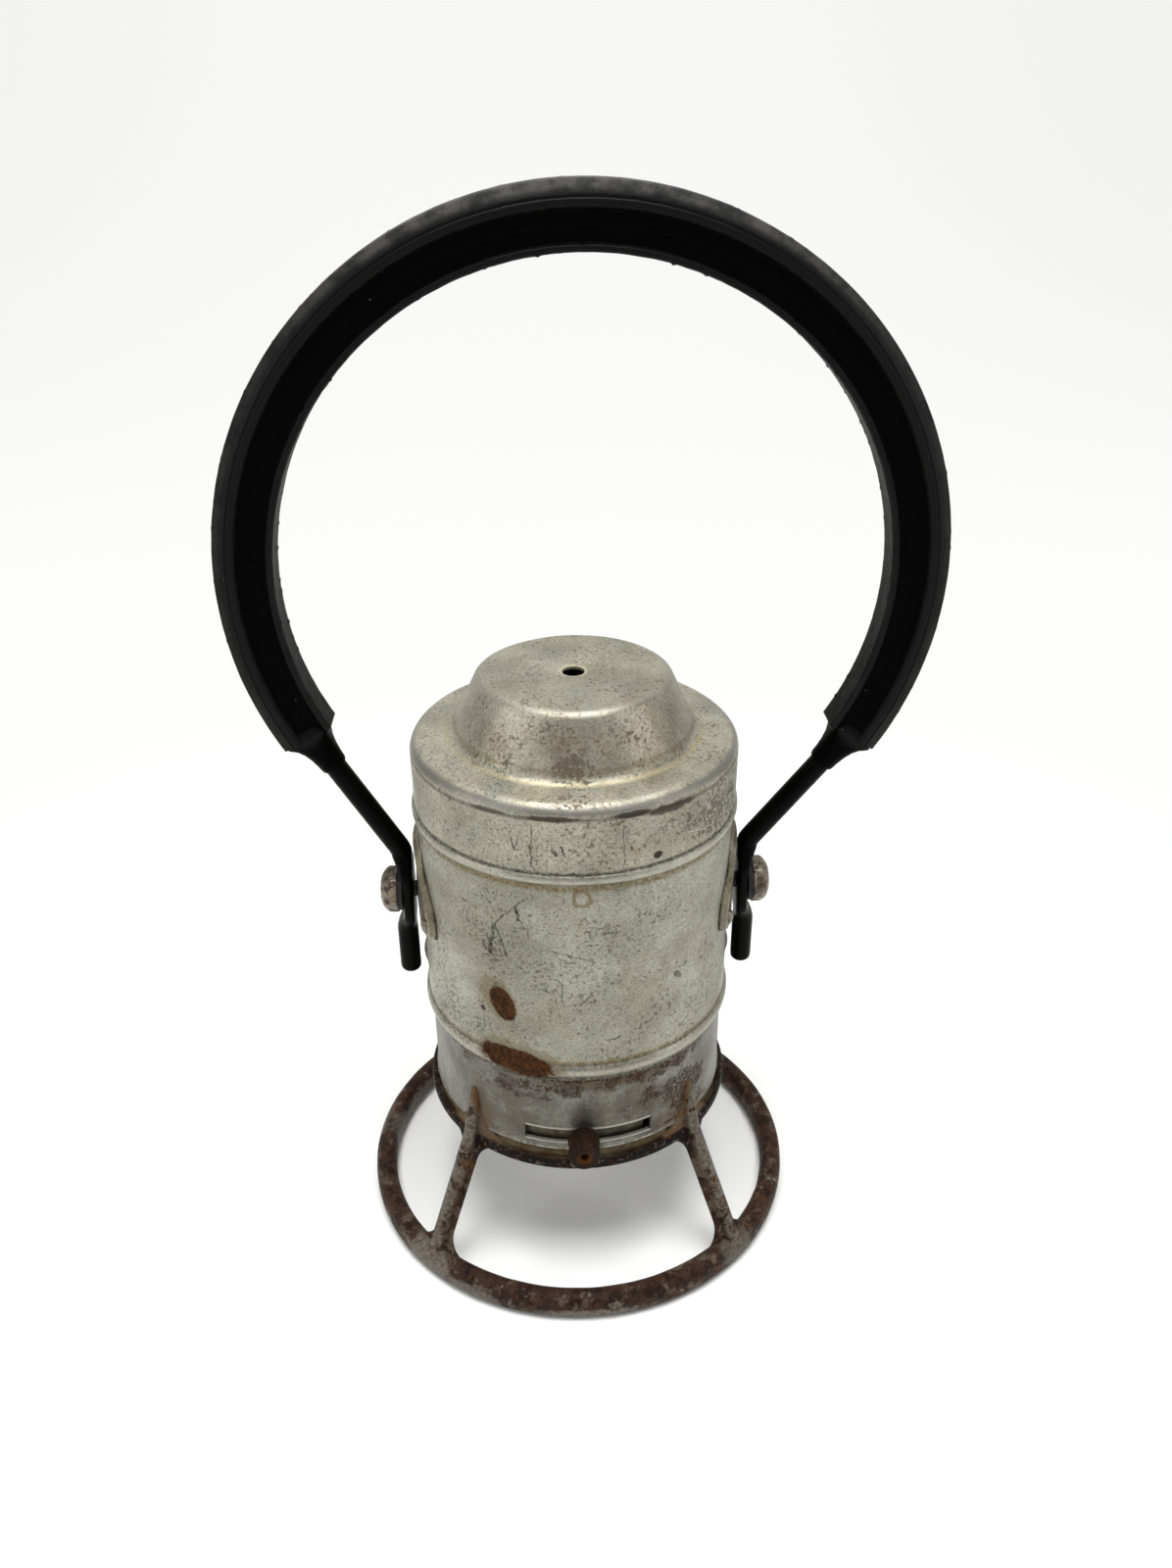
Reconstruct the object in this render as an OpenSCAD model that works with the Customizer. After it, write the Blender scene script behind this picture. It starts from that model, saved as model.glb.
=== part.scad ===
// Electric railroad hand lantern: a tinned battery can on a four-legged ring base, with a
// lamp and reflector facing down, a lift-off cap, a sliding-knob switch and a tall bail.
// Millimetres. The origin is the centre of the ring's foot plane, +Z is up, the switch
// knob is towards -Y and the bail pivots lie on +X and -X.

/* [Ring and legs] */
// Outer radius of the base ring
ring_outer_r = 69.2; // [66:0.1:74]
// Diameter of the ring's round bar
ring_bar_d = 8.7; // [7:0.1:10]
// Depth of the flat worn under the bar, which the lantern stands on
ring_flat_depth = 0.35; // [0.2:0.05:0.8]
// Height of the guard's lip above the floor, at its lowest edge
lip_bottom_z = 40.2; // [36:0.2:44]
// How far the guard's lip stands out from the collar
lip_out = 2.2; // [1.8:0.1:4]
// Radius of the lip's rounded edge
lip_round = 1.8; // [1.4:0.1:2]
// Number of legs
leg_count = 4; // [3:1:6]
// Width of a leg's flat web
leg_web_w = 6.6; // [5.6:0.2:9]
// Thickness of the web
leg_web_t = 2.2; // [1.6:0.1:2.8]
// Diameter of the round ridge along a leg
leg_ridge_d = 5; // [4:0.1:5.4]
// Height where the ridge fades into the collar
ridge_top_z = 60.6; // [56:0.2:64]
// Radius of the window corners beside a leg
window_corner_r = 8; // [4:0.5:10]

/* [Collar and switch] */
// Outer radius of the collar, which the can slips over
collar_r = 45.2; // [44.5:0.1:45.4]
// Thickness of the collar's sheet
collar_wall = 1.2; // [0.9:0.1:1.4]
// Height of the collar's upper edge, inside the can
collar_top_z = 84; // [80:0.5:90]
// Height of the rolled groove that seats the reflector
groove_z = 47; // [46.6:0.1:47.4]
// Height of the middle of the switch slot
slot_z = 52; // [51.7:0.1:52.3]
// Height of the slot itself
slot_h = 4.9; // [4.4:0.1:5.3]
// Half of the angle that the slot spans
slot_half_angle = 24; // [20:0.5:30]
// Diameter of the knob
knob_d = 9.5; // [7:0.1:10]
// Length of the knob
knob_len = 8.8; // [6:0.2:12]
// Diameter of the knob's shank
shank_d = 4; // [3:0.1:4.3]
// Diameter of the hole in the knob's end
knob_dimple_d = 2.5; // [1.5:0.1:3.5]
// Half of the angle that the slot's shutter spans
shutter_half_angle = 22; // [16:0.5:24]
// Thickness of the switch arm
arm_t = 0.8; // [0.6:0.05:0.9]
// Width of the switch arm
arm_w = 6; // [5:0.2:8]

/* [Can] */
// Thickness of the can's and cap's sheet
tin = 0.8; // [0.6:0.05:1]
// Height where the can's lower bead begins
can_bead_z = 74.8; // [72:0.2:78]
// Height of the lower bead
can_bead_h = 4.4; // [3:0.1:5]
// How far the lower bead stands out
can_bead_out = 0.8; // [0.5:0.1:1.2]
// Height where the upper bead begins, which the cap rests on
top_bead_z = 140.5; // [138:0.2:144]
// Height of the upper bead
top_bead_h = 3.4; // [3.2:0.1:4]
// How far the upper bead stands out
top_bead_out = 1.3; // [1:0.1:1.5]
// Height of the can's open upper edge
can_top_z = 158; // [152:0.5:161]
// Radial clearance between the can's neck and the cap
cap_clearance = 0.3; // [0.2:0.05:0.5]
// Height of the round bump below each ear
bump_z = 89; // [87:0.5:91]
// Diameter of the bump
bump_d = 9; // [6:0.5:11]
// How far the bump stands out
bump_out = 1.2; // [0.6:0.1:1.4]

/* [Cap] */
// How far the cap's skirt stands out from the can
cap_out = 0.5; // [0.3:0.1:1]
// Height of the shoulder at its edge
shoulder_z = 163.6; // [161:0.2:166]
// Height of the shoulder at the root of the crown
root_z = 164.5; // [163.5:0.1:168]
// Radius of the crown at its root
root_r = 35; // [33:0.5:37]
// Radius of the crown at its flat top
crown_r = 27.6; // [25:0.5:31]
// Height of the flat top
crown_z = 179.8; // [176:0.2:186]
// Radius of the shoulder's edge
shoulder_round = 4; // [2:0.5:5]
// Radius of the hollow at the crown's root
root_round = 4; // [2:0.5:5]
// Radius of the crown's edge
crown_round = 3.5; // [2:0.5:4]
// Diameter of the vent hole
vent_d = 6; // [3:0.5:9]

/* [Bail] */
// Height of the bail's pivot
pivot_z = 111; // [109:0.2:113]
// Distance of the rod's axis from the can at the pivots
bail_reach = 5.6; // [5.4:0.1:8]
// Diameter of the rod
rod_d = 6.35; // [5.6:0.05:6.6]
// Height of the rod's lower end
rod_end_z = 80; // [76:0.5:90]
// Height where the rod bends outwards
rod_bend_z = 124; // [123:0.2:130]
// Radius of the bow, to the middle of the rod
bow_r = 89.2; // [80:0.2:100]
// Height of the bow's centre
bow_z = 207.9; // [200:0.1:220]
// Sideways set of the bow from years of use
bow_set = 1.8; // [0:0.1:4]
// Thickness of the flattened eyes
eye_t = 3.2; // [2.6:0.1:3.6]
// Width of the flattened eyes
eye_w = 13; // [11:0.2:15]
// Height of the flattened eyes
eye_h = 21; // [17:0.5:22]

/* [Grip] */
// Half of the angle that the grip spans
grip_half_angle = 120.9; // [90:0.5:122]
// Reach of the grip outside the rod's axis
grip_out = 7.8; // [6.5:0.1:9]
// Reach of the grip inside the rod's axis
grip_in = 7.9; // [6.5:0.1:9]
// Depth of the grip's flanges, front to back
grip_depth = 12; // [10:0.2:15]
// Depth of the grip's hollowed web
grip_web = 8.6; // [8:0.1:9.6]
// Length of the tapered boot at each end
boot_len = 12; // [8:0.5:16]

/* [Pivots] */
// Diameter of the pivot bolts' shank
bolt_d = 4.8; // [4:0.1:5.5]
// Width of the bolt heads across the flats
bolt_flats = 12.7; // [10:0.1:13]
// Thickness of the bolt heads
bolt_head_h = 5.3; // [4:0.1:6]
// Diameter of the washers
washer_d = 13; // [11:0.2:15]
// Thickness of the washers
washer_t = 1.4; // [1:0.1:2]
// Width of the nuts across the flats
nut_flats = 9; // [8:0.1:11]
// Thickness of the nuts
nut_t = 3.4; // [2.6:0.1:4]

/* [Ears] */
// Thickness of the ears' sheet
ear_t = 0.9; // [0.7:0.1:1.1]
// Half of an ear's width across its feet
ear_half_w = 21.5; // [20:0.5:22]
// Reach of an ear above the pivot
ear_up = 20.4; // [18:0.2:22]
// Reach of its feet below the pivot
ear_down = 7.6; // [6.6:0.2:9]
// Width of a foot
ear_foot_w = 9.5; // [8:0.5:11]
// Half of an ear's width at its top
ear_head_half_w = 11; // [9:0.5:13]
// Radius of an ear's upper corners
ear_head_round = 8; // [5:0.5:9]
// Radius of the bend in an ear's flanks
ear_flank_round = 10; // [6:0.5:12]
// Radius of the feet's corners
ear_foot_round = 3.4; // [2:0.2:4]
// Dip of an ear's lower edge between its feet
ear_dip = 3; // [2:0.2:4]
// How far the rib round an ear stands out
ear_rib_out = 0.7; // [0.4:0.1:0.8]
// Width of the rib
ear_rib_w = 2.4; // [1.8:0.1:2.5]
// Distance of the rivets below the pivot
rivet_drop = 2.4; // [1:0.2:2.6]
// Diameter of the rivet heads
rivet_head_d = 4.4; // [3.4:0.1:5]
// Diameter of the rivets' shanks
rivet_d = 2.4; // [1.8:0.1:2.8]

/* [Lamp] */
// Depth of the reflector's bowl
bowl_depth = 4.9; // [4.2:0.1:5]
// Thickness of the reflector's sheet
reflector_t = 0.6; // [0.4:0.05:0.7]
// Diameter of a bulb's screw base
bulb_base_d = 9.5; // [9:0.1:9.6]
// Diameter of a bulb's glass
bulb_d = 11.5; // [10.5:0.1:12.5]
// Wall of a lamp socket
socket_wall = 0.75; // [0.5:0.05:1]
// Distance of the spare lamp from the middle
spare_offset = 17; // [16:0.5:22]
// Diameter of the reflector's retaining wire
clip_wire_d = 1.6; // [1.2:0.1:2]
// Thickness of the insulating disc
disc_t = 2.5; // [2:0.1:3]
// Height of the disc's underside
disc_z = 57; // [56.6:0.1:58]
// Radius of the circle that the lamp unit's three posts stand on
post_circle_r = 32; // [28:0.5:35]
// Diameter of the posts
post_d = 6; // [4:0.2:8]

/* [Battery] */
// Gap between the square battery's rounded corners and the collar
battery_gap = 1.5; // [1:0.1:5]
// Radius of the battery's upright corners
battery_corner = 10; // [8:0.5:14]
// Gap between the battery's top and the cap's shoulder
battery_head_gap = 4.1; // [3:0.1:12]
// Free space under the case that its two coil springs fill
spring_h = 7.5; // [6:0.1:9]
// Wire diameter of the springs
spring_wire_d = 1; // [0.8:0.05:1.1]
// Radius of a spring's widest curl
spring_r = 8; // [6:0.1:9]
// Curls of each spring
spring_curls = 3; // [2:1:3]

/* [Hidden] */
$fn = 96;
EPS = 0.01;
RUN = 0.05;
SIDE_GAP = 0.1;
KNUCKLE = 1.01;
SHORT = 0.2;
PAST = 5;
ARC_STEPS = 7;
ring_r = ring_outer_r - ring_bar_d / 2;
ring_z = ring_bar_d / 2 - ring_flat_depth;
collar_in = collar_r - collar_wall;
can_r = collar_r + tin;
lip_outer_r = collar_r + lip_out;
cap_r = can_r + cap_out;
bail_half_w = can_r + bail_reach;
battery_half = (collar_in - battery_gap - battery_corner) / sqrt(2) + battery_corner;
neck_r = cap_r - tin - cap_clearance;
cap_z = top_bead_z + top_bead_h + SIDE_GAP;
lip_r = lip_outer_r - lip_round;
lip_z = lip_bottom_z + lip_round;
lip_hollow = 3;
lip_hollow_z = lip_z + sqrt(pow(lip_hollow + lip_round, 2) - pow(collar_r + lip_hollow - lip_r, 2));
groove_r = 0.7;
groove_bead = 1.3;
flange_top = groove_z - groove_bead;
neck_top = flange_top + bowl_depth;
arm_z = slot_z - arm_t / 2;
socket_r = bulb_base_d / 2 + socket_wall;
pivot_flange_r = socket_r + 2;
shutter_out = collar_in - 0.3;
shutter_t = 0.5;
shutter_h = slot_h + 1.4;
shutter_in = shutter_out - shutter_t;
tab_t = 0.8;
tab_half_angle = 5;
knob_start = collar_r + 0.8;
eye_set = 0.175;
eye_x = bail_half_w - rod_d / 2 + eye_set;
washer_x = eye_x + eye_t + SIDE_GAP;
head_x = washer_x + washer_t;
ear_r = can_r + ear_t;
contact_t = 0.5;
battery_z = disc_z + disc_t + contact_t + spring_h;
battery_h = shoulder_z - battery_head_gap - battery_z;
terminal_offset = 17.5;
track_r = terminal_offset * sqrt(2);
leaf_r = collar_in - 16;
lamp_bottom_z = neck_top - 2.6;
bowl_neck_r = socket_r + 3.5;
bowl_span = collar_in - 2.4 - bowl_neck_r;
bowl_r = (bowl_span * bowl_span + bowl_depth * bowl_depth) / (2 * bowl_depth);
bow_centre = [bow_set, bow_z];

// Vectors and paths

function unit(v) = v / norm(v);

function left_of(v) = [-v[1], v[0]];

// Points of an arc
function arc(centre, r, from, to, steps = ARC_STEPS) =
    [for (i = [0:steps]) let (a = from + (to - from) * i / steps) centre + r * [cos(a), sin(a)]];

// Points that round the corner b = [x, y, radius] between its neighbours a and c
function corner(a, b, c) =
    let (
        at = [b[0], b[1]],
        u = unit([a[0], a[1]] - at),
        v = unit([c[0], c[1]] - at),
        half = acos(min(1, max(-1, u * v))) / 2,
        back = b[2] / tan(half),
        centre = at + unit(u + v) * b[2] / sin(half),
        first = at + u * back - centre,
        last = at + v * back - centre,
        from = atan2(first[1], first[0]),
        swing = atan2(first[0] * last[1] - first[1] * last[0], first * last)
    )
    b[2] == 0 ? [at] : arc(centre, b[2], from, from + swing);

// An open path whose inner corners are rounded by their own radii
function rounded(path) =
    let (n = len(path) - 1)
    [for (i = [0:n]) each (i == 0 || i == n) ?
        [[path[i][0], path[i][1]]] : corner(path[i - 1], path[i], path[i + 1])];

// A closed outline whose corners are rounded by their own radii
function rounded_loop(path) =
    let (n = len(path))
    [for (i = [0:n - 1]) each corner(path[(i + n - 1) % n], path[i], path[(i + 1) % n])];

// The same path, moved to its left by t with its corners kept sharp
function beside(path, t) =
    let (n = len(path) - 1)
    [for (i = [0:n])
        let (
            before = left_of(unit(path[max(i, 1)] - path[max(i, 1) - 1])),
            after = left_of(unit(path[min(i, n - 1) + 1] - path[min(i, n - 1)]))
        )
        path[i] + (before + after) * t / (1 + before * after)];

// Sheet of thickness t along a path, on its left
module sheet(path, t) {
    other = beside(path, t);
    polygon(concat(path, [for (i = [len(other) - 1:-1:0]) other[i]]));
}

// Arc that bulges by out from a straight wall at radius r between two heights
function bead(r, z, h, out) =
    let (
        big = (pow(h / 2, 2) + pow(out, 2)) / (2 * out),
        half = asin(h / 2 / big)
    )
    arc([r + out - big, z + h / 2], big, -half, half, 8);

module tube(r_out, r_in, z, h) {
    translate([0, 0, z])
        difference() {
            cylinder(r = r_out, h = h);
            translate([0, 0, -1])
                cylinder(r = r_in, h = h + 2);
        }
}

// Curved strip of a ring wall, centred on the front
module front_strip(r_out, r_in, z, h, half_angle) {
    rotate([0, 0, 270 - half_angle])
        rotate_extrude(angle = 2 * half_angle)
            translate([r_in, z])
                square([r_out - r_in, h]);
}

// Turns what is drawn along +Z to point along +X at a height, or along -X
module sideways(side, z) {
    translate([0, 0, z])
        rotate([0, side * 90, 0])
            children();
}

// Ball that closes a joint of bars at a point of the XY plane, a shade fuller than they are and
// turned so that its first meridian faces the joint's open side
module knuckle(at, open_side, d) {
    translate(at)
        rotate([0, 0, atan2(open_side[1], open_side[0])])
            sphere(d = d * KNUCKLE, $fn = 48);
}

// The open side of the bend at b between a and c
function outside(a, b, c) = -unit(a - b) - unit(c - b);

// Round bar in the XY plane from a to b, held short of the knuckles at its ends
module bar(a, b, d) {
    run = b - a;
    translate(a + SHORT * unit(run))
        rotate([0, 0, atan2(run[1], run[0])])
            rotate([0, 90, 0])
                cylinder(d = d, h = norm(run) - 2 * SHORT);
}

// Base

module ring_bar() {
    rotate_extrude($fn = 180)
        translate([ring_r, ring_z])
            circle(d = ring_bar_d, $fn = 48);
}

module base_ring() {
    color("#43342b")
        difference() {
            ring_bar();
            translate([0, 0, -ring_bar_d])
                cylinder(r = ring_outer_r + PAST, h = ring_bar_d);
        }
}

// Points on a leg's middle line: on the ring's upper inside, inside the lip and in the collar
foot_set = [-0.3, 0.34] * ring_bar_d;
knee_set = [2.4, 2];
head_depth = 2.2;
leg_foot = [ring_r, ring_z] + foot_set;
leg_knee = [collar_r, lip_bottom_z] + knee_set;
leg_head = [collar_r - head_depth, ridge_top_z];

// The guard's flared lip, hollowed towards the collar
module lip_profile() {
    hollow_at = [collar_r + lip_hollow, lip_hollow_z];
    lip_at = [lip_r, lip_z];
    across = hollow_at - lip_at;
    lean = atan2(across[1], across[0]);
    polygon(concat(
        [[collar_in, lip_bottom_z]],
        arc(lip_at, lip_round, -90, lean),
        arc(hollow_at, lip_hollow, lean - 180, -180),
        [[collar_in, lip_hollow_z]]
    ));
}

// The cone that all the legs' webs are cut from
module leg_cone() {
    rotate_extrude($fn = 180)
        sheet([
            leg_foot - leg_web_t / 2 * left_of(unit(leg_knee - leg_foot)),
            leg_knee - leg_web_t / 2 * left_of(unit(leg_knee - leg_foot))
        ], leg_web_t);
}

// A leg seen from outside: a strip that flares into the lip and into the ring
module leg_outline() {
    reach = leg_web_w / 2 + window_corner_r;
    low = leg_foot[1] + 0.4;
    high = lip_bottom_z + 0.2;
    difference() {
        translate([-reach, 0])
            square([2 * reach, lip_z]);
        for (side = [0, 1])
            mirror([side, 0])
                translate([leg_web_w / 2, low]) {
                    translate([window_corner_r, 0])
                        square([2 * reach, high - low]);
                    translate([0, window_corner_r])
                        square([2 * reach, high - low - 2 * window_corner_r]);
                    for (z = [window_corner_r, high - low - window_corner_r])
                        translate([window_corner_r, z])
                            circle(r = window_corner_r, $fn = 48);
                }
    }
}

module leg_web() {
    intersection() {
        leg_cone();
        rotate([90, 0, 0])
            linear_extrude(height = ring_outer_r)
                leg_outline();
    }
}

// Ridge along the leg's middle line, with a knuckle at the knee
module leg_ridge() {
    rotate([90, 0, 270]) {
        bar(leg_foot, leg_knee, leg_ridge_d);
        knuckle(leg_knee, outside(leg_foot, leg_knee, leg_head), leg_ridge_d);
        bar(leg_knee, leg_head, leg_ridge_d);
    }
}

// The legs and the lip are one piece, bored for the collar and resting on the ring
module leg_guard() {
    color("#5b4c41")
        difference() {
            union() {
                rotate_extrude($fn = 180)
                    lip_profile();
                for (i = [0:leg_count - 1])
                    rotate([0, 0, (i + 0.5) * 360 / leg_count]) {
                        leg_web();
                        leg_ridge();
                    }
            }
            ring_bar();
            translate([0, 0, lip_bottom_z - 2 * PAST])
                cylinder(r = collar_r, h = collar_top_z);
        }
}

module base_collar() {
    color("#8e8f8d")
        difference() {
            rotate_extrude($fn = 180)
                difference() {
                    union() {
                        translate([collar_in, lip_bottom_z])
                            square([collar_wall, collar_top_z - lip_bottom_z]);
                        translate([collar_in + 0.6, groove_z])
                            circle(r = groove_bead, $fn = 48);
                    }
                    translate([collar_r + 0.1, groove_z])
                        circle(r = groove_r, $fn = 48);
                    translate([collar_r, groove_z - 2 * groove_bead])
                        square([3, 4 * groove_bead]);
                }
            front_strip(collar_r + 1, collar_in - 1, slot_z - slot_h / 2, slot_h, slot_half_angle);
        }
}

// Can

// Spherical bump pressed out of the can below each ear
module bump_ball(side, inset) {
    ball = (pow(bump_d / 2, 2) + pow(bump_out, 2)) / (2 * bump_out);
    translate([side * (can_r + bump_out - ball), 0, bump_z])
        sphere(r = ball - inset, $fn = 64);
}

function can_path() = concat(
    [[can_r, can_bead_z - 0.8]],
    bead(can_r, can_bead_z, can_bead_h, can_bead_out),
    bead(can_r, top_bead_z, top_bead_h, top_bead_out),
    [[neck_r, top_bead_z + top_bead_h], [neck_r, can_top_z]]
);

module can_wall() {
    rotate_extrude($fn = 180)
        sheet(can_path(), tin);
}

module battery_can() {
    color("#b5b1a4")
        difference() {
            union() {
                can_wall();
                for (side = [-1, 1])
                    difference() {
                        bump_ball(side, 0);
                        cylinder(r = collar_r + tin / 2, h = can_top_z);
                    }
            }
            for (side = [-1, 1]) {
                bump_ball(side, tin);
                sideways(side, pivot_z)
                    cylinder(d = bolt_d, h = can_r + PAST);
                rivet_places(side)
                    cylinder(d = rivet_d, h = can_r + PAST);
            }
        }
}

// Ears, their rivets and the pivots

ear_low = pivot_z - ear_down;
ear_high = pivot_z + ear_up;
ear_inner = ear_half_w - ear_foot_w;
rivet_y = ear_half_w - ear_foot_w / 2;
ear_flank_z = pivot_z + ear_up / 5;

// Outline of an ear, drawn in by inset: two feet, raked sides and a rounded head
function ear_outline(inset) = rounded_loop([
    [-ear_half_w + inset, ear_low + inset, ear_foot_round],
    [-ear_half_w + inset, ear_flank_z, ear_flank_round],
    [-ear_head_half_w + inset / 2, ear_high - inset, ear_head_round],
    [ear_head_half_w - inset / 2, ear_high - inset, ear_head_round],
    [ear_half_w - inset, ear_flank_z, ear_flank_round],
    [ear_half_w - inset, ear_low + inset, ear_foot_round],
    [ear_inner + inset, ear_low + inset, ear_dip],
    [ear_inner * 0.58, ear_low - ear_dip + inset, ear_dip],
    [-ear_inner * 0.58, ear_low - ear_dip + inset, ear_dip],
    [-ear_inner - inset, ear_low + inset, ear_dip]
]);

// Part of a ring wall inside an outline seen from the side
module curved_plate(side, r_out, r_in) {
    intersection() {
        tube(r_out, r_in, ear_low - 2 * PAST, ear_high - ear_low + 4 * PAST);
        rotate([90, 0, side * 90])
            linear_extrude(height = r_out + PAST)
                children();
    }
}

module ear(side) {
    difference() {
        union() {
            curved_plate(side, ear_r, can_r)
                polygon(ear_outline(0));
            curved_plate(side, ear_r + ear_rib_out, ear_r - EPS)
                difference() {
                    polygon(ear_outline(ear_rib_out / 2));
                    polygon(ear_outline(ear_rib_w));
                    translate([-ear_inner, ear_low - ear_inner])
                        square([2 * ear_inner, ear_inner + ear_foot_round]);
                }
        }
        sideways(side, pivot_z)
            cylinder(d = bolt_d, h = ear_r + PAST);
        rivet_places(side)
            cylinder(d = rivet_d, h = ear_r + PAST);
    }
}

module ear_left() {
    color("#a8a293")
        ear(-1);
}

module ear_right() {
    color("#a8a293")
        ear(1);
}

// Puts what is drawn along +Z on the radial line through each foot of an ear
module rivet_places(side) {
    for (y = [-rivet_y, rivet_y])
        translate([0, 0, pivot_z - rivet_drop])
            rotate([0, 0, atan2(y, side * sqrt(can_r * can_r - y * y))])
                rotate([0, 90, 0])
                    children();
}

module ear_rivet() {
    tail = 0.7;
    head_h = 1;
    translate([0, 0, collar_r - tail])
        cylinder(d = rivet_d * 1.5, h = tail - 0.12);
    translate([0, 0, collar_r - tail])
        cylinder(d = rivet_d, h = tail + tin + ear_t + head_h / 2);
    translate([0, 0, ear_r])
        intersection() {
            cylinder(d = rivet_head_d, h = head_h);
            translate([0, 0, head_h - rivet_head_d * 0.75])
                sphere(r = rivet_head_d * 0.75, $fn = 48);
        }
}

module ear_rivets() {
    color("#9a9385")
        for (side = [-1, 1])
            rivet_places(side)
                ear_rivet();
}

module pivot_bolt(side) {
    nut_x = sqrt(pow(collar_r, 2) - pow(nut_flats / sqrt(3), 2)) - nut_t;
    dome_r = bolt_flats * 0.72;
    sideways(side, pivot_z) {
        translate([0, 0, nut_x - 0.6])
            cylinder(d = bolt_d, h = head_x - nut_x + 0.6 + EPS);
        intersection() {
            translate([0, 0, head_x])
                rotate([0, 0, 30])
                    cylinder(d = bolt_flats * 2 / sqrt(3), h = bolt_head_h, $fn = 6);
            translate([0, 0, head_x + bolt_head_h - dome_r])
                sphere(r = dome_r, $fn = 64);
        }
    }
}

module pivot_bolt_left() {
    color("#8d8471")
        pivot_bolt(-1);
}

module pivot_bolt_right() {
    color("#8d8471")
        pivot_bolt(1);
}

module pivot_washer(side) {
    sideways(side, pivot_z)
        tube(washer_d / 2, bolt_d / 2, washer_x, washer_t);
}

module pivot_washer_left() {
    color("#1c1c1c")
        pivot_washer(-1);
}

module pivot_washer_right() {
    color("#1c1c1c")
        pivot_washer(1);
}

module pivot_nut(side) {
    nut_x = sqrt(pow(collar_r, 2) - pow(nut_flats / sqrt(3), 2)) - nut_t;
    sideways(side, pivot_z)
        translate([0, 0, nut_x])
            difference() {
                cylinder(d = nut_flats * 2 / sqrt(3), h = nut_t, $fn = 6);
                translate([0, 0, -1])
                    cylinder(d = bolt_d, h = nut_t + 2);
            }
}

module pivot_nut_left() {
    color("#9a927f")
        pivot_nut(-1);
}

module pivot_nut_right() {
    color("#9a927f")
        pivot_nut(1);
}

// Lamp unit

// The bowl's arc leaves the neck level and meets the flange
module reflector() {
    bowl = arc([bowl_neck_r, neck_top - bowl_r], bowl_r, 90 - asin(bowl_span / bowl_r), 90, 12);
    color("#c9c9c4")
        difference() {
            rotate_extrude($fn = 180)
                sheet(concat([[collar_in, flange_top]], bowl, [[socket_r, neck_top]]), reflector_t);
            translate([0, spare_offset, flange_top])
                cylinder(r = socket_r, h = 10);
            lamp_post_places()
                cylinder(d = post_d / 2, h = disc_z);
        }
}

module reflector_clip() {
    wire_r = clip_wire_d / 2;
    color("#8b8b86")
        rotate([0, 0, 94])
            rotate_extrude(angle = 352, $fn = 180)
                translate([collar_in - wire_r, flange_top - reflector_t - wire_r])
                    circle(d = clip_wire_d, $fn = 24);
}

module lamp_post_places() {
    for (a = [90, 210, 330])
        rotate([0, 0, a])
            translate([post_circle_r, 0, 0])
                children();
}

// Posts between the reflector and the disc, each with its screw head under the reflector
module lamp_posts() {
    seat_z = neck_top - bowl_r + sqrt(pow(bowl_r, 2) - pow(post_circle_r - bowl_neck_r, 2));
    color("#a9a18f")
        lamp_post_places() {
            translate([0, 0, seat_z + 0.6])
                cylinder(d = post_d, h = disc_z - seat_z - 0.6);
            translate([0, 0, seat_z - 1.6])
                cylinder(d = post_d / 2, h = 2.6);
            translate([0, 0, seat_z - 2.6])
                cylinder(d = post_d * 0.9, h = 1.2);
        }
}

module socket_shell(z) {
    tube(socket_r, bulb_base_d / 2, z, disc_z - z);
}

// The main socket is also the shaft of the switch arm, which runs on its flange
module main_socket() {
    color("#b08a4a") {
        socket_shell(lamp_bottom_z);
        tube(pivot_flange_r, socket_r, neck_top, arm_z - SIDE_GAP - neck_top);
    }
}

module spare_socket() {
    color("#b08a4a")
        translate([0, spare_offset, 0])
            socket_shell(lamp_bottom_z - 0.8);
}

module pivot_sleeve() {
    color("#5a4632")
        tube(pivot_flange_r, socket_r, arm_z + arm_t + SIDE_GAP, disc_z - arm_z - arm_t - SIDE_GAP);
}

module bulb_base() {
    contact_h = 1;
    color("#c0a060") {
        translate([0, 0, lamp_bottom_z - 0.4])
            cylinder(d = bulb_base_d, h = disc_z - contact_h - lamp_bottom_z + 0.4);
        translate([0, 0, disc_z - contact_h])
            cylinder(d1 = bulb_base_d * 0.5, d2 = bulb_base_d * 0.3, h = contact_h);
    }
}

// Thin glass ball on a short neck
module bulb_glass() {
    ball = bulb_d / 2;
    neck = bulb_base_d * 0.4;
    wall = 0.5;
    neck_h = sqrt(ball * ball - neck * neck) + 0.8;
    color([0.85, 0.9, 0.9, 0.4])
        translate([0, 0, lamp_bottom_z - 0.4 - neck_h])
            rotate_extrude()
                polygon(concat(
                    arc([0, 0], ball, -90, acos(neck / ball), 16),
                    [[neck, neck_h], [neck - wall, neck_h]],
                    arc([0, 0], ball - wall, acos((neck - wall) / (ball - wall)), -90, 16)
                ));
}

module main_bulb_base() {
    bulb_base();
}

module main_bulb_glass() {
    bulb_glass();
}

module spare_bulb_base() {
    translate([0, spare_offset, 0])
        bulb_base();
}

module spare_bulb_glass() {
    translate([0, spare_offset, 0])
        bulb_glass();
}

module insulator_disc() {
    color("#6b4a2c")
        translate([0, 0, disc_z])
            cylinder(r = collar_in, h = disc_t);
}

// Centre button and round track, so the battery works whichever way it is turned
module battery_contacts() {
    track_w = 8;
    color("#c39b52") {
        translate([0, 0, disc_z + disc_t])
            cylinder(r = spring_r + 1, h = contact_t);
        tube(track_r + track_w, track_r - track_w, disc_z + disc_t, contact_t);
    }
}

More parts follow.
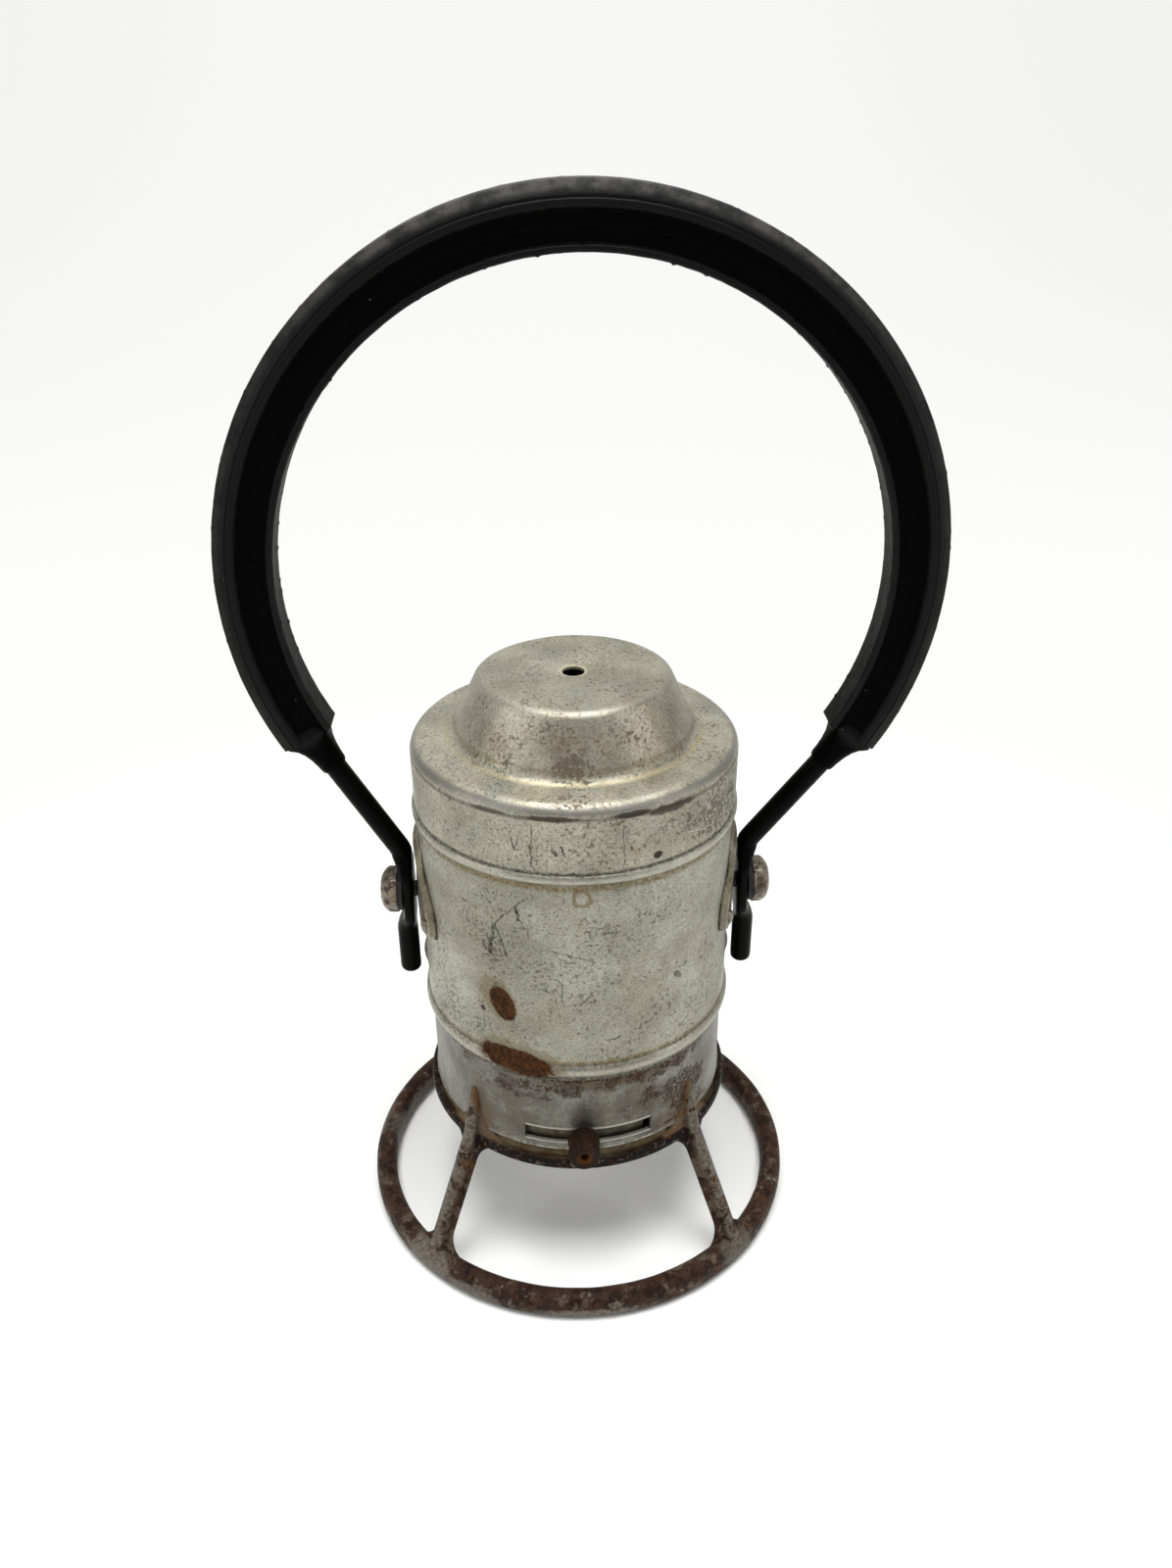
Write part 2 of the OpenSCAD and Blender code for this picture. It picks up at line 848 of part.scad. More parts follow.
// Brass leaf under the disc that the switch arm's tab meets at the end of its travel
module lamp_contact(angle) {
    leaf_t = 0.4;
    drop = disc_z - arm_z - arm_t - 0.3;
    color("#c39b52")
        rotate([0, 0, 270 + angle])
            translate([leaf_r, 0, 0]) {
                translate([-6, -3, disc_z - leaf_t])
                    cube([12, 6, leaf_t]);
                translate([6 - leaf_t, -3, disc_z - drop])
                    cube([leaf_t, 6, drop]);
                translate([1, -3, disc_z - drop])
                    cube([5, 6, leaf_t]);
            }
}

module main_contact() {
    lamp_contact(-20);
}

module spare_contact() {
    lamp_contact(20);
}

// Battery

module battery_case() {
    half = battery_half;
    rim = 2;
    outline = rounded_loop([
        [-half, -half, battery_corner], [half, -half, battery_corner],
        [half, half, battery_corner], [-half, half, battery_corner]
    ]);
    color("#2f3a44")
        translate([0, 0, battery_z])
            difference() {
                linear_extrude(height = battery_h)
                    polygon(outline);
                translate([0, 0, -1])
                    linear_extrude(height = 1 + 0.5)
                        scale((half - rim) / half)
                            polygon(outline);
            }
}

SPRING_SIDES = 6;
SPRING_RINGS = 8;
spring_rise = spring_h + 0.5 - spring_wire_d;

// Middle line of a coil spring that narrows downwards, t from 0 at the case to 1 at the contact
function spring_point(t) =
    let (
        a = 360 * spring_curls * t,
        r = spring_r * (1 - 0.45 * t)
    )
    [r * cos(a), r * sin(a), battery_z + 0.5 - spring_wire_d / 2 - spring_rise * t];

spring_steps = spring_curls * SPRING_RINGS;
spring_line = [for (i = [0:spring_steps]) spring_point(i / spring_steps)];

// Faces of a tube swept along points by rings of sides
function sweep_points(line, r, sides) =
    [for (i = [0:len(line) - 1])
        let (
            ahead = unit(line[min(i + 1, len(line) - 1)] - line[max(i - 1, 0)]),
            flat = unit(cross([0, 0, 1], ahead)),
            tall = cross(ahead, flat)
        )
        for (k = [0:sides - 1])
            line[i] + r * (cos(360 * k / sides) * flat + sin(360 * k / sides) * tall)];

function sweep_faces(rings, sides) = concat(
    [[for (k = [0:sides - 1]) k]],
    [for (i = [0:rings - 2]) for (k = [0:sides - 1]) each let (
        a = i * sides + k,
        b = i * sides + (k + 1) % sides
    ) [[a, a + sides, b + sides], [a, b + sides, b]]],
    [[for (k = [sides - 1:-1:0]) (rings - 1) * sides + k]]
);

least_gap = min([for (i = [0:spring_steps - SPRING_RINGS + 2])
    min([for (j = [i + SPRING_RINGS - 2:spring_steps]) norm(spring_line[i] - spring_line[j])])])
    - spring_wire_d;
echo(str("least gap between the spring's curls: ", least_gap, " mm"));

module battery_spring() {
    polyhedron(
        sweep_points(spring_line, spring_wire_d / 2, SPRING_SIDES),
        sweep_faces(spring_steps + 1, SPRING_SIDES)
    );
}

module battery_springs() {
    color("#b9b9b4") {
        battery_spring();
        translate([terminal_offset, terminal_offset, 0])
            battery_spring();
    }
}

// Cap

// The cap's outside from the skirt's edge to the vent, walked inwards
function cap_path() = rounded([
    [cap_r, cap_z, 0],
    [cap_r, shoulder_z, shoulder_round],
    [root_r, root_z, root_round],
    [crown_r, crown_z, crown_round],
    [vent_d / 2, crown_z, 0]
]);

module cap() {
    color("#b9b5a8")
        rotate_extrude($fn = 180)
            sheet(cap_path(), tin);
}

// Bail

// Angle of the bow's end on either side, where the straight arm meets it inside the grip's boot
function bow_end(side) = 90 - side * grip_half_angle;

function on_bow(angle, r = bow_r) = bow_centre + r * [cos(angle), sin(angle)];

// A point of the bail's plane, which is upright through both pivots
function in_bail_plane(p) = [p[0], 0, p[1]];

module bow(from, to) {
    translate(in_bail_plane(bow_centre))
        rotate([90, 0, 0])
            rotate([0, 0, from])
                rotate_extrude(angle = to - from, $fn = 180)
                    children();
}

// Forged eye: a flat plate that narrows to the rod's width above and below
module bail_eye(side) {
    plate_r = eye_w / 2;
    neck_r_out = rod_d / 2;
    low = pivot_z - eye_h / 2;
    high = pivot_z + eye_h / 2;
    taper = 4;
    translate([side * (eye_x + eye_t / 2), 0, 0])
        rotate([90, 0, 90])
            translate([0, 0, -eye_t / 2])
                linear_extrude(height = eye_t)
                    polygon(rounded_loop([
                        [-neck_r_out, low - 2, 0], [neck_r_out, low - 2, 0],
                        [plate_r, low + taper, 4], [plate_r, high - taper, 4],
                        [neck_r_out, high + 2, 0], [-neck_r_out, high + 2, 0],
                        [-plate_r, high - taper, 4], [-plate_r, low + taper, 4]
                    ]));
}

module bail_arm(side) {
    low = pivot_z - eye_h / 2;
    high = pivot_z + eye_h / 2;
    rod_x = side * bail_half_w;
    translate([rod_x, 0, rod_end_z])
        cylinder(d1 = rod_d - 2, d2 = rod_d, h = 1);
    translate([rod_x, 0, rod_end_z + 1])
        cylinder(d = rod_d, h = low - rod_end_z - 1);
    bend = [rod_x, rod_bend_z];
    top = on_bow(bow_end(side));
    rotate([90, 0, 0]) {
        for (z = [low, high])
            knuckle([rod_x, z], [side, 0], rod_d);
        bar([rod_x, high], bend, rod_d);
        knuckle(bend, outside([rod_x, high], bend, top), rod_d);
        bar(bend, top, rod_d);
        knuckle(top, top - bow_centre, rod_d);
    }
    bail_eye(side);
}

module bail_rod() {
    color("#151515")
        difference() {
            union() {
                bow(bow_end(1), bow_end(-1))
                    translate([bow_r, 0])
                        circle(d = rod_d, $fn = 48);
                for (side = [-1, 1])
                    bail_arm(side);
            }
            for (side = [-1, 1])
                sideways(side, pivot_z)
                    cylinder(d = bolt_d + 2 * RUN, h = bail_half_w + 4 * PAST);
        }
}

// Half of the grip's section, in front of the rod: sloping tread, groove, ridge, web and lip
function grip_half(side) =
    let (deep = grip_depth / 2, web = grip_web / 2)
    [for (p = [
        [grip_out, deep - 3.4], [grip_out - 0.6, deep - 2.2], [grip_out - 3.6, deep],
        [grip_out - 3.9, deep - 0.9], [grip_out - 4.2, deep - 0.1], [grip_out - 5.9, deep - 0.1],
        [grip_out - 6.3, web], [1.7 - grip_in, web], [1.5 - grip_in, deep - 0.5],
        [0.6 - grip_in, deep - 0.5], [-grip_in, deep - 1.4]
    ]) [bow_r + p[0], side * p[1]]];

module grip_section() {
    front = grip_half(1);
    back = grip_half(-1);
    difference() {
        polygon(concat(front, [for (i = [len(back) - 1:-1:0]) back[i]]));
        translate([bow_r, 0])
            circle(d = rod_d + 2 * RUN, $fn = 48);
    }
}

// What is drawn along +Z, laid down the straight arm from the grip's end
module down_arm(side) {
    end = on_bow(bow_end(side));
    run = [side * bail_half_w, rod_bend_z] - end;
    rotate([90, 0, 0])
        translate(end)
            rotate([0, 0, atan2(run[1], run[0])])
                rotate([0, 90, 0])
                    children();
}

// The grip's section runs round the bow, and a boot tapers from either end to the rod
module bail_grip() {
    root = 4;
    color("#202020")
        difference() {
            union() {
                bow(bow_end(1), bow_end(-1))
                    grip_section();
                for (side = [-1, 1])
                    down_arm(side)
                        translate([0, 0, -root])
                            cylinder(d1 = grip_depth - 0.6, d2 = rod_d + 1.8, h = boot_len + root);
            }
            for (side = [-1, 1])
                down_arm(side)
                    translate([0, 0, -2 * root])
                        cylinder(d = rod_d + 8 * RUN, h = boot_len + 4 * root);
        }
}

// Switch

module knob_profile() {
    edge = 1.3;
    path = rounded([
        [0, knob_len, 0], [knob_dimple_d / 2, knob_len - 1.4, 0], [knob_dimple_d / 2, knob_len, 0],
        [knob_d / 2, knob_len, edge], [knob_d / 2, 0.6, 0], [knob_d / 2 - 0.6, 0, 0], [0, 0, 0]
    ]);
    polygon([for (i = [1:len(path) - 1]) path[i], [0, knob_len - 1.4]]);
}

module switch_knob() {
    tail = 0.6;
    color("#4a3328")
        translate([0, 0, slot_z])
            rotate([90, 0, 0]) {
                translate([0, 0, knob_start])
                    rotate_extrude()
                        knob_profile();
                translate([0, 0, shutter_in - tab_t - tail])
                    cylinder(d = shank_d, h = knob_start - shutter_in + tab_t + tail + EPS);
            }
}

module shank_hole() {
    translate([0, 0, slot_z])
        rotate([90, 0, 0])
            cylinder(d = shank_d, h = collar_r);
}

module switch_arm() {
    tab_h = shutter_h;
    color("#b08a4a")
        difference() {
            union() {
                tube(pivot_flange_r + 1, socket_r + RUN, arm_z, arm_t);
                difference() {
                    translate([-arm_w / 2, -(shutter_in - tab_t / 2), arm_z])
                        cube([arm_w, shutter_in - tab_t / 2, arm_t]);
                    translate([0, 0, arm_z - 1])
                        cylinder(r = socket_r + RUN, h = arm_t + 2);
                }
                front_strip(shutter_in, shutter_in - tab_t, slot_z - tab_h / 2, tab_h, tab_half_angle);
            }
            shank_hole();
        }
}

module switch_shutter() {
    color("#9c9677")
        difference() {
            front_strip(shutter_out, shutter_in, slot_z - shutter_h / 2, shutter_h, shutter_half_angle);
            shank_hole();
        }
}

base_ring();
leg_guard();
base_collar();
battery_can();
ear_left();
ear_right();
ear_rivets();
pivot_bolt_left();
pivot_bolt_right();
pivot_washer_left();
pivot_washer_right();
pivot_nut_left();
pivot_nut_right();
reflector();
reflector_clip();
lamp_posts();
main_socket();
spare_socket();
main_bulb_base();
main_bulb_glass();
spare_bulb_base();
spare_bulb_glass();
pivot_sleeve();
insulator_disc();
battery_contacts();
main_contact();
spare_contact();
battery_case();
battery_springs();
cap();
bail_rod();
bail_grip();
switch_knob();
switch_arm();
switch_shutter();
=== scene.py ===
"""Looks of an electric railroad hand lantern that stands on a ring base.

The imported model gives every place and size. Each class dresses one sub-assembly: it makes the
meshes that stand for plain solids and gives each piece its finish. Lengths are in millimetres
until a mesh is made.
"""

import logging
import math
from dataclasses import dataclass, field
from enum import Enum
from typing import Callable, Optional, Sequence

import bmesh
import bpy
import numpy as np
from mathutils import Matrix, Vector, noise


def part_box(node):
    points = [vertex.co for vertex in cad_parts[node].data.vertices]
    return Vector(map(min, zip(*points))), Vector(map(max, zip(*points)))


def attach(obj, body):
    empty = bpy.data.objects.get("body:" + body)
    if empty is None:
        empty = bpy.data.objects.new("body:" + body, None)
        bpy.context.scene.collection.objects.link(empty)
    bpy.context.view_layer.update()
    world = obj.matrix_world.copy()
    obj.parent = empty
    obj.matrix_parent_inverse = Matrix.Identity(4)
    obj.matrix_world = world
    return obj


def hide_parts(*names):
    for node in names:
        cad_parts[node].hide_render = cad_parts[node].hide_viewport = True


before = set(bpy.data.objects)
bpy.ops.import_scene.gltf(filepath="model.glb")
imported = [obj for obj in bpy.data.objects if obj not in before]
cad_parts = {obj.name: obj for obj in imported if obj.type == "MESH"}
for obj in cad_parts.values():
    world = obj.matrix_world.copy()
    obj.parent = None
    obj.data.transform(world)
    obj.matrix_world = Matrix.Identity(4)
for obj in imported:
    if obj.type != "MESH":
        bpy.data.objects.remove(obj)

LOG = logging.getLogger("lantern")
MM = 0.001
# Points closer than this in metres are one: in a mesh made here, and in a node's own mesh.
MERGE = 1e-7
MERGE_NODE = 2e-6
# A dark spot softer than this isn't drawn. It makes the speckle denser.
CROWDING = 0.3

Point = tuple[float, float]
Colour = tuple[float, float, float, float]
Socket = bpy.types.NodeSocket
Shape = tuple[np.ndarray, list[list[int]]]


class Body(Enum):
    """The bodies that pieces ride on."""

    HOUSING = "housing"
    CAP = "cap"
    BAIL = "bail"
    SWITCH = "switch"


class Mark(Enum):
    """What a mark on the metal is."""

    RUST = "rust"
    STAIN = "stain"
    DARK = "dark"
    BRIGHT = "bright"


def hue(code: str) -> Colour:
    """Turn a hexadecimal screen colour into a linear one.

    Args:
        code: Six hexadecimal digits.

    Returns:
        Red, green, blue and alpha.
    """
    parts = [int(code[i : i + 2], 16) / 255 for i in (0, 2, 4)]
    line = [p / 12.92 if p <= 0.04045 else ((p + 0.055) / 1.055) ** 2.4 for p in parts]
    return (line[0], line[1], line[2], 1.0)


def corners_mm(node: str) -> tuple[np.ndarray, np.ndarray]:
    """Give a node's lowest and highest corner in millimetres."""
    low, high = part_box(node)
    return np.array(low) / MM, np.array(high) / MM


# Outlines


def arc(centre: Point, radius: float, start: float, end: float, steps: int = 8) -> list[Point]:
    """Give the points of an arc.

    Args:
        centre: Middle of the arc.
        radius: Its radius.
        start: First angle in degrees.
        end: Last angle in degrees.
        steps: Number of chords.

    Returns:
        The points from start to end.
    """
    angles = np.radians(np.linspace(start, end, steps + 1))
    return [(centre[0] + radius * math.cos(a), centre[1] + radius * math.sin(a)) for a in angles]


def rounded(path: Sequence[tuple[float, float, float]], steps: int = 8) -> list[Point]:
    """Round the inner corners of an open path.

    Args:
        path: Points as x, y and corner radius.
        steps: Number of chords in a corner.

    Returns:
        The path's points.
    """
    points: list[Point] = [path[0][:2]]
    for before, at, after in zip(path, path[1:], path[2:]):
        here = Vector(at[:2])
        to_before = (Vector(before[:2]) - here).normalized()
        to_after = (Vector(after[:2]) - here).normalized()
        half = to_before.angle(to_after) / 2
        if at[2] == 0 or half > math.radians(89.5):
            points.append(at[:2])
            continue
        back = at[2] / math.tan(half)
        centre = here + (to_before + to_after).normalized() * at[2] / math.sin(half)
        first = here + to_before * back - centre
        last = here + to_after * back - centre
        start = math.degrees(math.atan2(first.y, first.x))
        turn = math.degrees(math.atan2(first.x * last.y - first.y * last.x, first.dot(last)))
        points += arc(tuple(centre), at[2], start, start + turn, steps)
    points.append(path[-1][:2])
    return points


def spaced(path: Sequence[Point], step: float) -> list[Point]:
    """Add points along a path so that none lie further apart than a step."""
    points: list[Point] = []
    for a, b in zip(path, path[1:]):
        count = max(1, math.ceil(math.dist(a, b) / step))
        for k in range(count):
            points.append((a[0] + (b[0] - a[0]) * k / count, a[1] + (b[1] - a[1]) * k / count))
    return points + [path[-1]]


def walled(path: Sequence[Point], thickness: float) -> list[Point]:
    """Close a path into a sheet's section, with the thickness on its left.

    Args:
        path: Points of the outer side.
        thickness: Thickness of the sheet.

    Returns:
        The loop round the section.
    """
    line = np.array(path)
    steps = np.diff(line, axis=0)
    steps /= np.linalg.norm(steps, axis=1)[:, None]
    left = np.stack([-steps[:, 1], steps[:, 0]], axis=1)
    before = np.vstack([left[:1], left])
    after = np.vstack([left, left[-1:]])
    share = 1 + np.sum(before * after, axis=1)
    other = line + (before + after) * (thickness / share)[:, None]
    return [tuple(p) for p in line] + [tuple(p) for p in other[::-1]]


def superellipse(half_a: float, half_b: float, power: float, count: int) -> np.ndarray:
    """Give a closed section between an ellipse and a box.

    Args:
        half_a: Half width along the first axis.
        half_b: Half width along the second axis.
        power: 2 for an ellipse, more for squarer corners.
        count: Number of points.

    Returns:
        Points as an array of two columns.
    """
    angles = np.linspace(0, 2 * math.pi, count, endpoint=False)
    c, s = np.cos(angles), np.sin(angles)
    a = half_a * np.sign(c) * np.abs(c) ** (2 / power)
    b = half_b * np.sign(s) * np.abs(s) ** (2 / power)
    return np.stack([a, b], axis=1)


def fillet(sizes: Point, away: float) -> float:
    """Give how far a fillet of a radius, which starts at a distance, widens a web there."""
    radius, start = sizes
    reach = min(radius, max(0.0, start - away))
    return radius - math.sqrt(radius**2 - reach**2)


def polar(radius: float, angle: float, height: float) -> tuple[float, float, float]:
    """Give the place at a radius, an angle in radians and a height."""
    return (radius * math.cos(angle), radius * math.sin(angle), height)


def crossed(at: np.ndarray, way: np.ndarray, section: np.ndarray) -> np.ndarray:
    """Set a section across a line that runs in the bail's plane."""
    side, depth = section[:, 0], section[:, 1]
    return np.stack([at[0] + way[1] * side, depth, at[1] - way[0] * side], axis=1)


# Meshes


def smooth(mesh: bpy.types.Mesh, angle: float = 32) -> None:
    """Shade a mesh smooth apart from edges sharper than an angle in degrees."""
    mesh.polygons.foreach_set("use_smooth", [True] * len(mesh.polygons))
    mesh.set_sharp_from_angle(angle=math.radians(angle))
    mesh.update()


def linked(name: str, data: bpy.types.ID) -> bpy.types.Object:
    """Make an object of its data and link it to the scene."""
    made = bpy.data.objects.new(name, data)
    bpy.context.scene.collection.objects.link(made)
    return made


def mesh_object(
    name: str, points: np.ndarray, faces: Sequence[Sequence[int]], angle: float = 32
) -> bpy.types.Object:
    """Make an object from points in millimetres.

    Args:
        name: The object's name.
        points: Array of three columns.
        faces: Point numbers of each face.
        angle: Edges sharper than this stay sharp, in degrees.

    Returns:
        The object, linked to the scene, with its faces pointing outwards.
    """
    mesh = bpy.data.meshes.new(name)
    mesh.from_pydata((np.asarray(points, float) * MM).tolist(), [], [list(f) for f in faces])
    build = bmesh.new()
    build.from_mesh(mesh)
    bmesh.ops.remove_doubles(build, verts=build.verts, dist=MERGE)
    bmesh.ops.recalc_face_normals(build, faces=build.faces)
    build.to_mesh(mesh)
    build.free()
    smooth(mesh, angle)
    return linked(name, mesh)


def joined(parts: Sequence[Shape]) -> Shape:
    """Put the points and the faces of several parts together."""
    faces: list[list[int]] = []
    start = 0
    for points, part in parts:
        faces += [[start + k for k in face] for face in part]
        start += len(points)
    return np.vstack([points for points, _ in parts]), faces


def grid_faces(rows: int, columns: int, rows_closed: bool = False) -> list[list[int]]:
    """Give the faces of a grid whose columns close on themselves."""
    last = rows if rows_closed else rows - 1
    return [
        [r * columns + c, r * columns + (c + 1) % columns,
         (r + 1) % rows * columns + (c + 1) % columns, (r + 1) % rows * columns + c]
        for r in range(last)
        for c in range(columns)
    ]


def revolved(loop: Sequence[Point], turns: int = 256) -> Shape:
    """Turn a closed loop of radius and height about the upright axis.

    Args:
        loop: Radius and height of each point.
        turns: Number of steps round the axis.

    Returns:
        Points and faces.
    """
    angles = np.linspace(0, 2 * math.pi, turns, endpoint=False)
    section = np.array(loop)
    x = np.cos(angles)[:, None] * section[:, 0]
    y = np.sin(angles)[:, None] * section[:, 0]
    z = np.broadcast_to(section[:, 1], x.shape)
    return np.stack([x, y, z], axis=2).reshape(-1, 3), grid_faces(turns, len(loop), rows_closed=True)


def swept(rings: Sequence[np.ndarray]) -> Shape:
    """Join rings of equal count into a tube with closed ends."""
    count = len(rings[0])
    faces = grid_faces(len(rings), count)
    faces.append(list(range(count))[::-1])
    faces.append([(len(rings) - 1) * count + k for k in range(count)])
    return np.vstack(rings), faces


def stitched(outer: np.ndarray, inner: np.ndarray, keep: np.ndarray) -> Shape:
    """Close two grids of points into a sheet with holes, where the columns close on themselves.

    Args:
        outer: Points of the outer side by row and column.
        inner: Points of the inner side by row and column.
        keep: Cells that exist, by row and column.

    Returns:
        Points and faces.
    """
    rows, columns = outer.shape[:2]
    half = rows * columns

    def at(r: int, c: int) -> int:
        return r * columns + c % columns

    faces = []
    for r in range(rows - 1):
        for c in range(columns):
            if not keep[r, c]:
                continue
            ring = [at(r, c), at(r, c + 1), at(r + 1, c + 1), at(r + 1, c)]
            faces.append(ring)
            faces.append([half + k for k in ring[::-1]])
            beside = [
                (r == 0 or not keep[r - 1, c]), not keep[r, (c + 1) % columns],
                (r == rows - 2 or not keep[r + 1, c]), not keep[r, c - 1],
            ]
            for k, bare in enumerate(beside):
                if bare:
                    a, b = ring[k], ring[(k + 1) % 4]
                    faces.append([b, a, half + a, half + b])
    return np.vstack([outer.reshape(-1, 3), inner.reshape(-1, 3)]), faces


def moved(points: np.ndarray, field_at: Callable[[np.ndarray], np.ndarray]) -> np.ndarray:
    """Move points by a smooth field of their place, so that both sides of a wall go together."""
    return points + np.array([field_at(p) for p in points])


def waviness(size: float, amount: float, seed: float) -> Callable[[np.ndarray], np.ndarray]:
    """Make a field that pushes points in and out from the upright axis.

    Args:
        size: Length of a wave.
        amount: Largest push.
        seed: Where the noise starts.

    Returns:
        The field.
    """

    def push(p: np.ndarray) -> np.ndarray:
        radius = math.hypot(p[0], p[1]) or 1
        here = Vector((p[0] / size + seed, p[1] / size, p[2] / size))
        value = noise.noise(here)
        return np.array([p[0] / radius, p[1] / radius, 0]) * value * amount

    return push


def evaluated(source: bpy.types.Object, angle: float = 32) -> bpy.types.Object:
    """Turn an object and its modifiers into a plain mesh."""
    graph = bpy.context.evaluated_depsgraph_get()
    mesh = bpy.data.meshes.new_from_object(source.evaluated_get(graph))
    source.modifiers.clear()
    source.data = mesh
    smooth(mesh, angle)
    return source


def merged(node: str) -> bmesh.types.BMesh:
    """Give a node's mesh with its doubled points merged."""
    build = bmesh.new()
    build.from_mesh(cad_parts[node].data)
    bmesh.ops.remove_doubles(build, verts=build.verts, dist=MERGE_NODE)
    return build


def copied(node: str, name: str, angle: float = 32) -> bpy.types.Object:
    """Copy a node's mesh and shade it smooth.

    Args:
        node: The node to copy.
        name: Name of the new piece.
        angle: Edges sharper than this stay sharp, in degrees.

    Returns:
        The new piece, which stands for the node.
    """
    mesh = bpy.data.meshes.new(name)
    build = merged(node)
    build.to_mesh(mesh)
    build.free()
    made = linked(name, mesh)
    smooth(made.data, angle)
    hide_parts(node)
    return made


def cast(piece: bpy.types.Object, voxel: float, passes: int) -> bpy.types.Object:
    """Blend a piece's joints like a casting's, by remeshing and easing its surface.

    Args:
        piece: The piece.
        voxel: Size of the remeshing in millimetres.
        passes: Times that the surface is eased.

    Returns:
        The same piece with a new mesh.
    """
    blend = piece.modifiers.new("blend", "REMESH")
    blend.mode = "VOXEL"
    blend.voxel_size = voxel * MM
    ease = piece.modifiers.new("ease", "SMOOTH")
    ease.factor = 0.5
    ease.iterations = passes
    return evaluated(piece, 60)


def place(piece: bpy.types.Object, body: Body, material: bpy.types.Material) -> None:
    """Dress a piece, fix it to its body and report it.

    Args:
        piece: The piece.
        body: The body that it rides on.
        material: Its finish.
    """
    piece.data.materials.clear()
    piece.data.materials.append(material)
    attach(piece, body.value)
    LOG.info("%s: %d faces on %s", piece.name, len(piece.data.polygons), body.value)


def dressed(body: Body, material: bpy.types.Material, angle: float, *nodes: str) -> None:
    """Put smooth copies of nodes in their places, with their finish.

    Args:
        body: The body that they ride on.
        material: Their finish.
        angle: Edges sharper than this stay sharp, in degrees.
        nodes: The nodes that are copied.
    """
    for node in nodes:
        place(copied(node, node + "_skin", angle), body, material)


# Node trees


class Graph:
    """Adds nodes to a tree and fills their inputs."""

    def __init__(self, tree: bpy.types.NodeTree) -> None:
        """Take the tree that the nodes go into."""
        self.nodes = tree.nodes
        self.links = tree.links

    def plug(self, socket: Socket, value: object) -> None:
        """Link a socket to another or set its value."""
        if isinstance(value, bpy.types.NodeSocket):
            self.links.new(value, socket)
        else:
            socket.default_value = value

    def node(self, kind: str, **inputs: object) -> bpy.types.Node:
        """Add a node and fill its inputs by name, with underscores for blanks."""
        made = self.nodes.new(kind)
        for name, value in inputs.items():
            self.plug(made.inputs[name.replace("_", " ")], value)
        return made

    def add(self, kind: str, operation: str, *values: object) -> bpy.types.Node:
        """Add a node that does an operation, and fill its first inputs in their order."""
        made = self.nodes.new(kind)
        made.operation = operation
        for socket, value in zip(made.inputs, values):
            self.plug(socket, value)
        return made

    def math(self, operation: str, a: object, b: object = 0.0) -> Socket:
        """Add maths on numbers."""
        return self.add("ShaderNodeMath", operation, a, b).outputs[0]

    def times(self, a: object, b: object) -> Socket:
        """Multiply two numbers."""
        return self.math("MULTIPLY", a, b)

    def plus(self, a: object, b: object) -> Socket:
        """Add two numbers."""
        return self.math("ADD", a, b)

    def minus(self, a: object, b: object) -> Socket:
        """Take the second number from the first."""
        return self.math("SUBTRACT", a, b)

    def larger(self, a: object, b: object) -> Socket:
        """Take the larger of two numbers."""
        return self.math("MAXIMUM", a, b)

    def unsigned(self, a: object) -> Socket:
        """Drop a number's sign."""
        return self.math("ABSOLUTE", a)


class Tree(Graph):
    """Builds one Geometry Nodes tree with named inputs."""

    def __init__(self, name: str) -> None:
        """Start an empty tree with one geometry input and output."""
        self.group = bpy.data.node_groups.new(name, "GeometryNodeTree")
        super().__init__(self.group)
        for way in ("INPUT", "OUTPUT"):
            self.group.interface.new_socket(
                name="Geometry", in_out=way, socket_type="NodeSocketGeometry"
            )
        self.start = self.nodes.new("NodeGroupInput")
        self.end = self.nodes.new("NodeGroupOutput")
        self.values: dict[str, float] = {}

    def size(self, name: str, value: float) -> Socket:
        """Add a named size to the tree and give the socket that carries it."""
        made = self.group.interface.new_socket(name=name, in_out="INPUT", socket_type="NodeSocketFloat")
        self.values[made.identifier] = value
        return self.start.outputs[name]

    def run(
        self, name: str, base: bpy.types.Mesh, result: Socket, material: bpy.types.Material
    ) -> bpy.types.Object:
        """Finish the tree and turn it into a plain mesh object.

        Args:
            name: Name of the piece.
            base: Mesh that the tree starts from.
            result: Socket with the finished geometry.
            material: Finish of the piece.

        Returns:
            The piece.
        """
        whole = self.node("GeometryNodeRealizeInstances", Geometry=result)
        painted = self.node("GeometryNodeSetMaterial", Geometry=whole.outputs[0], Material=material)
        self.links.new(painted.outputs[0], self.end.inputs["Geometry"])
        made = linked(name, base)
        modifier = made.modifiers.new(name, "NODES")
        modifier.node_group = self.group
        for identifier, value in self.values.items():
            modifier[identifier] = value
        return evaluated(made)


# Finishes


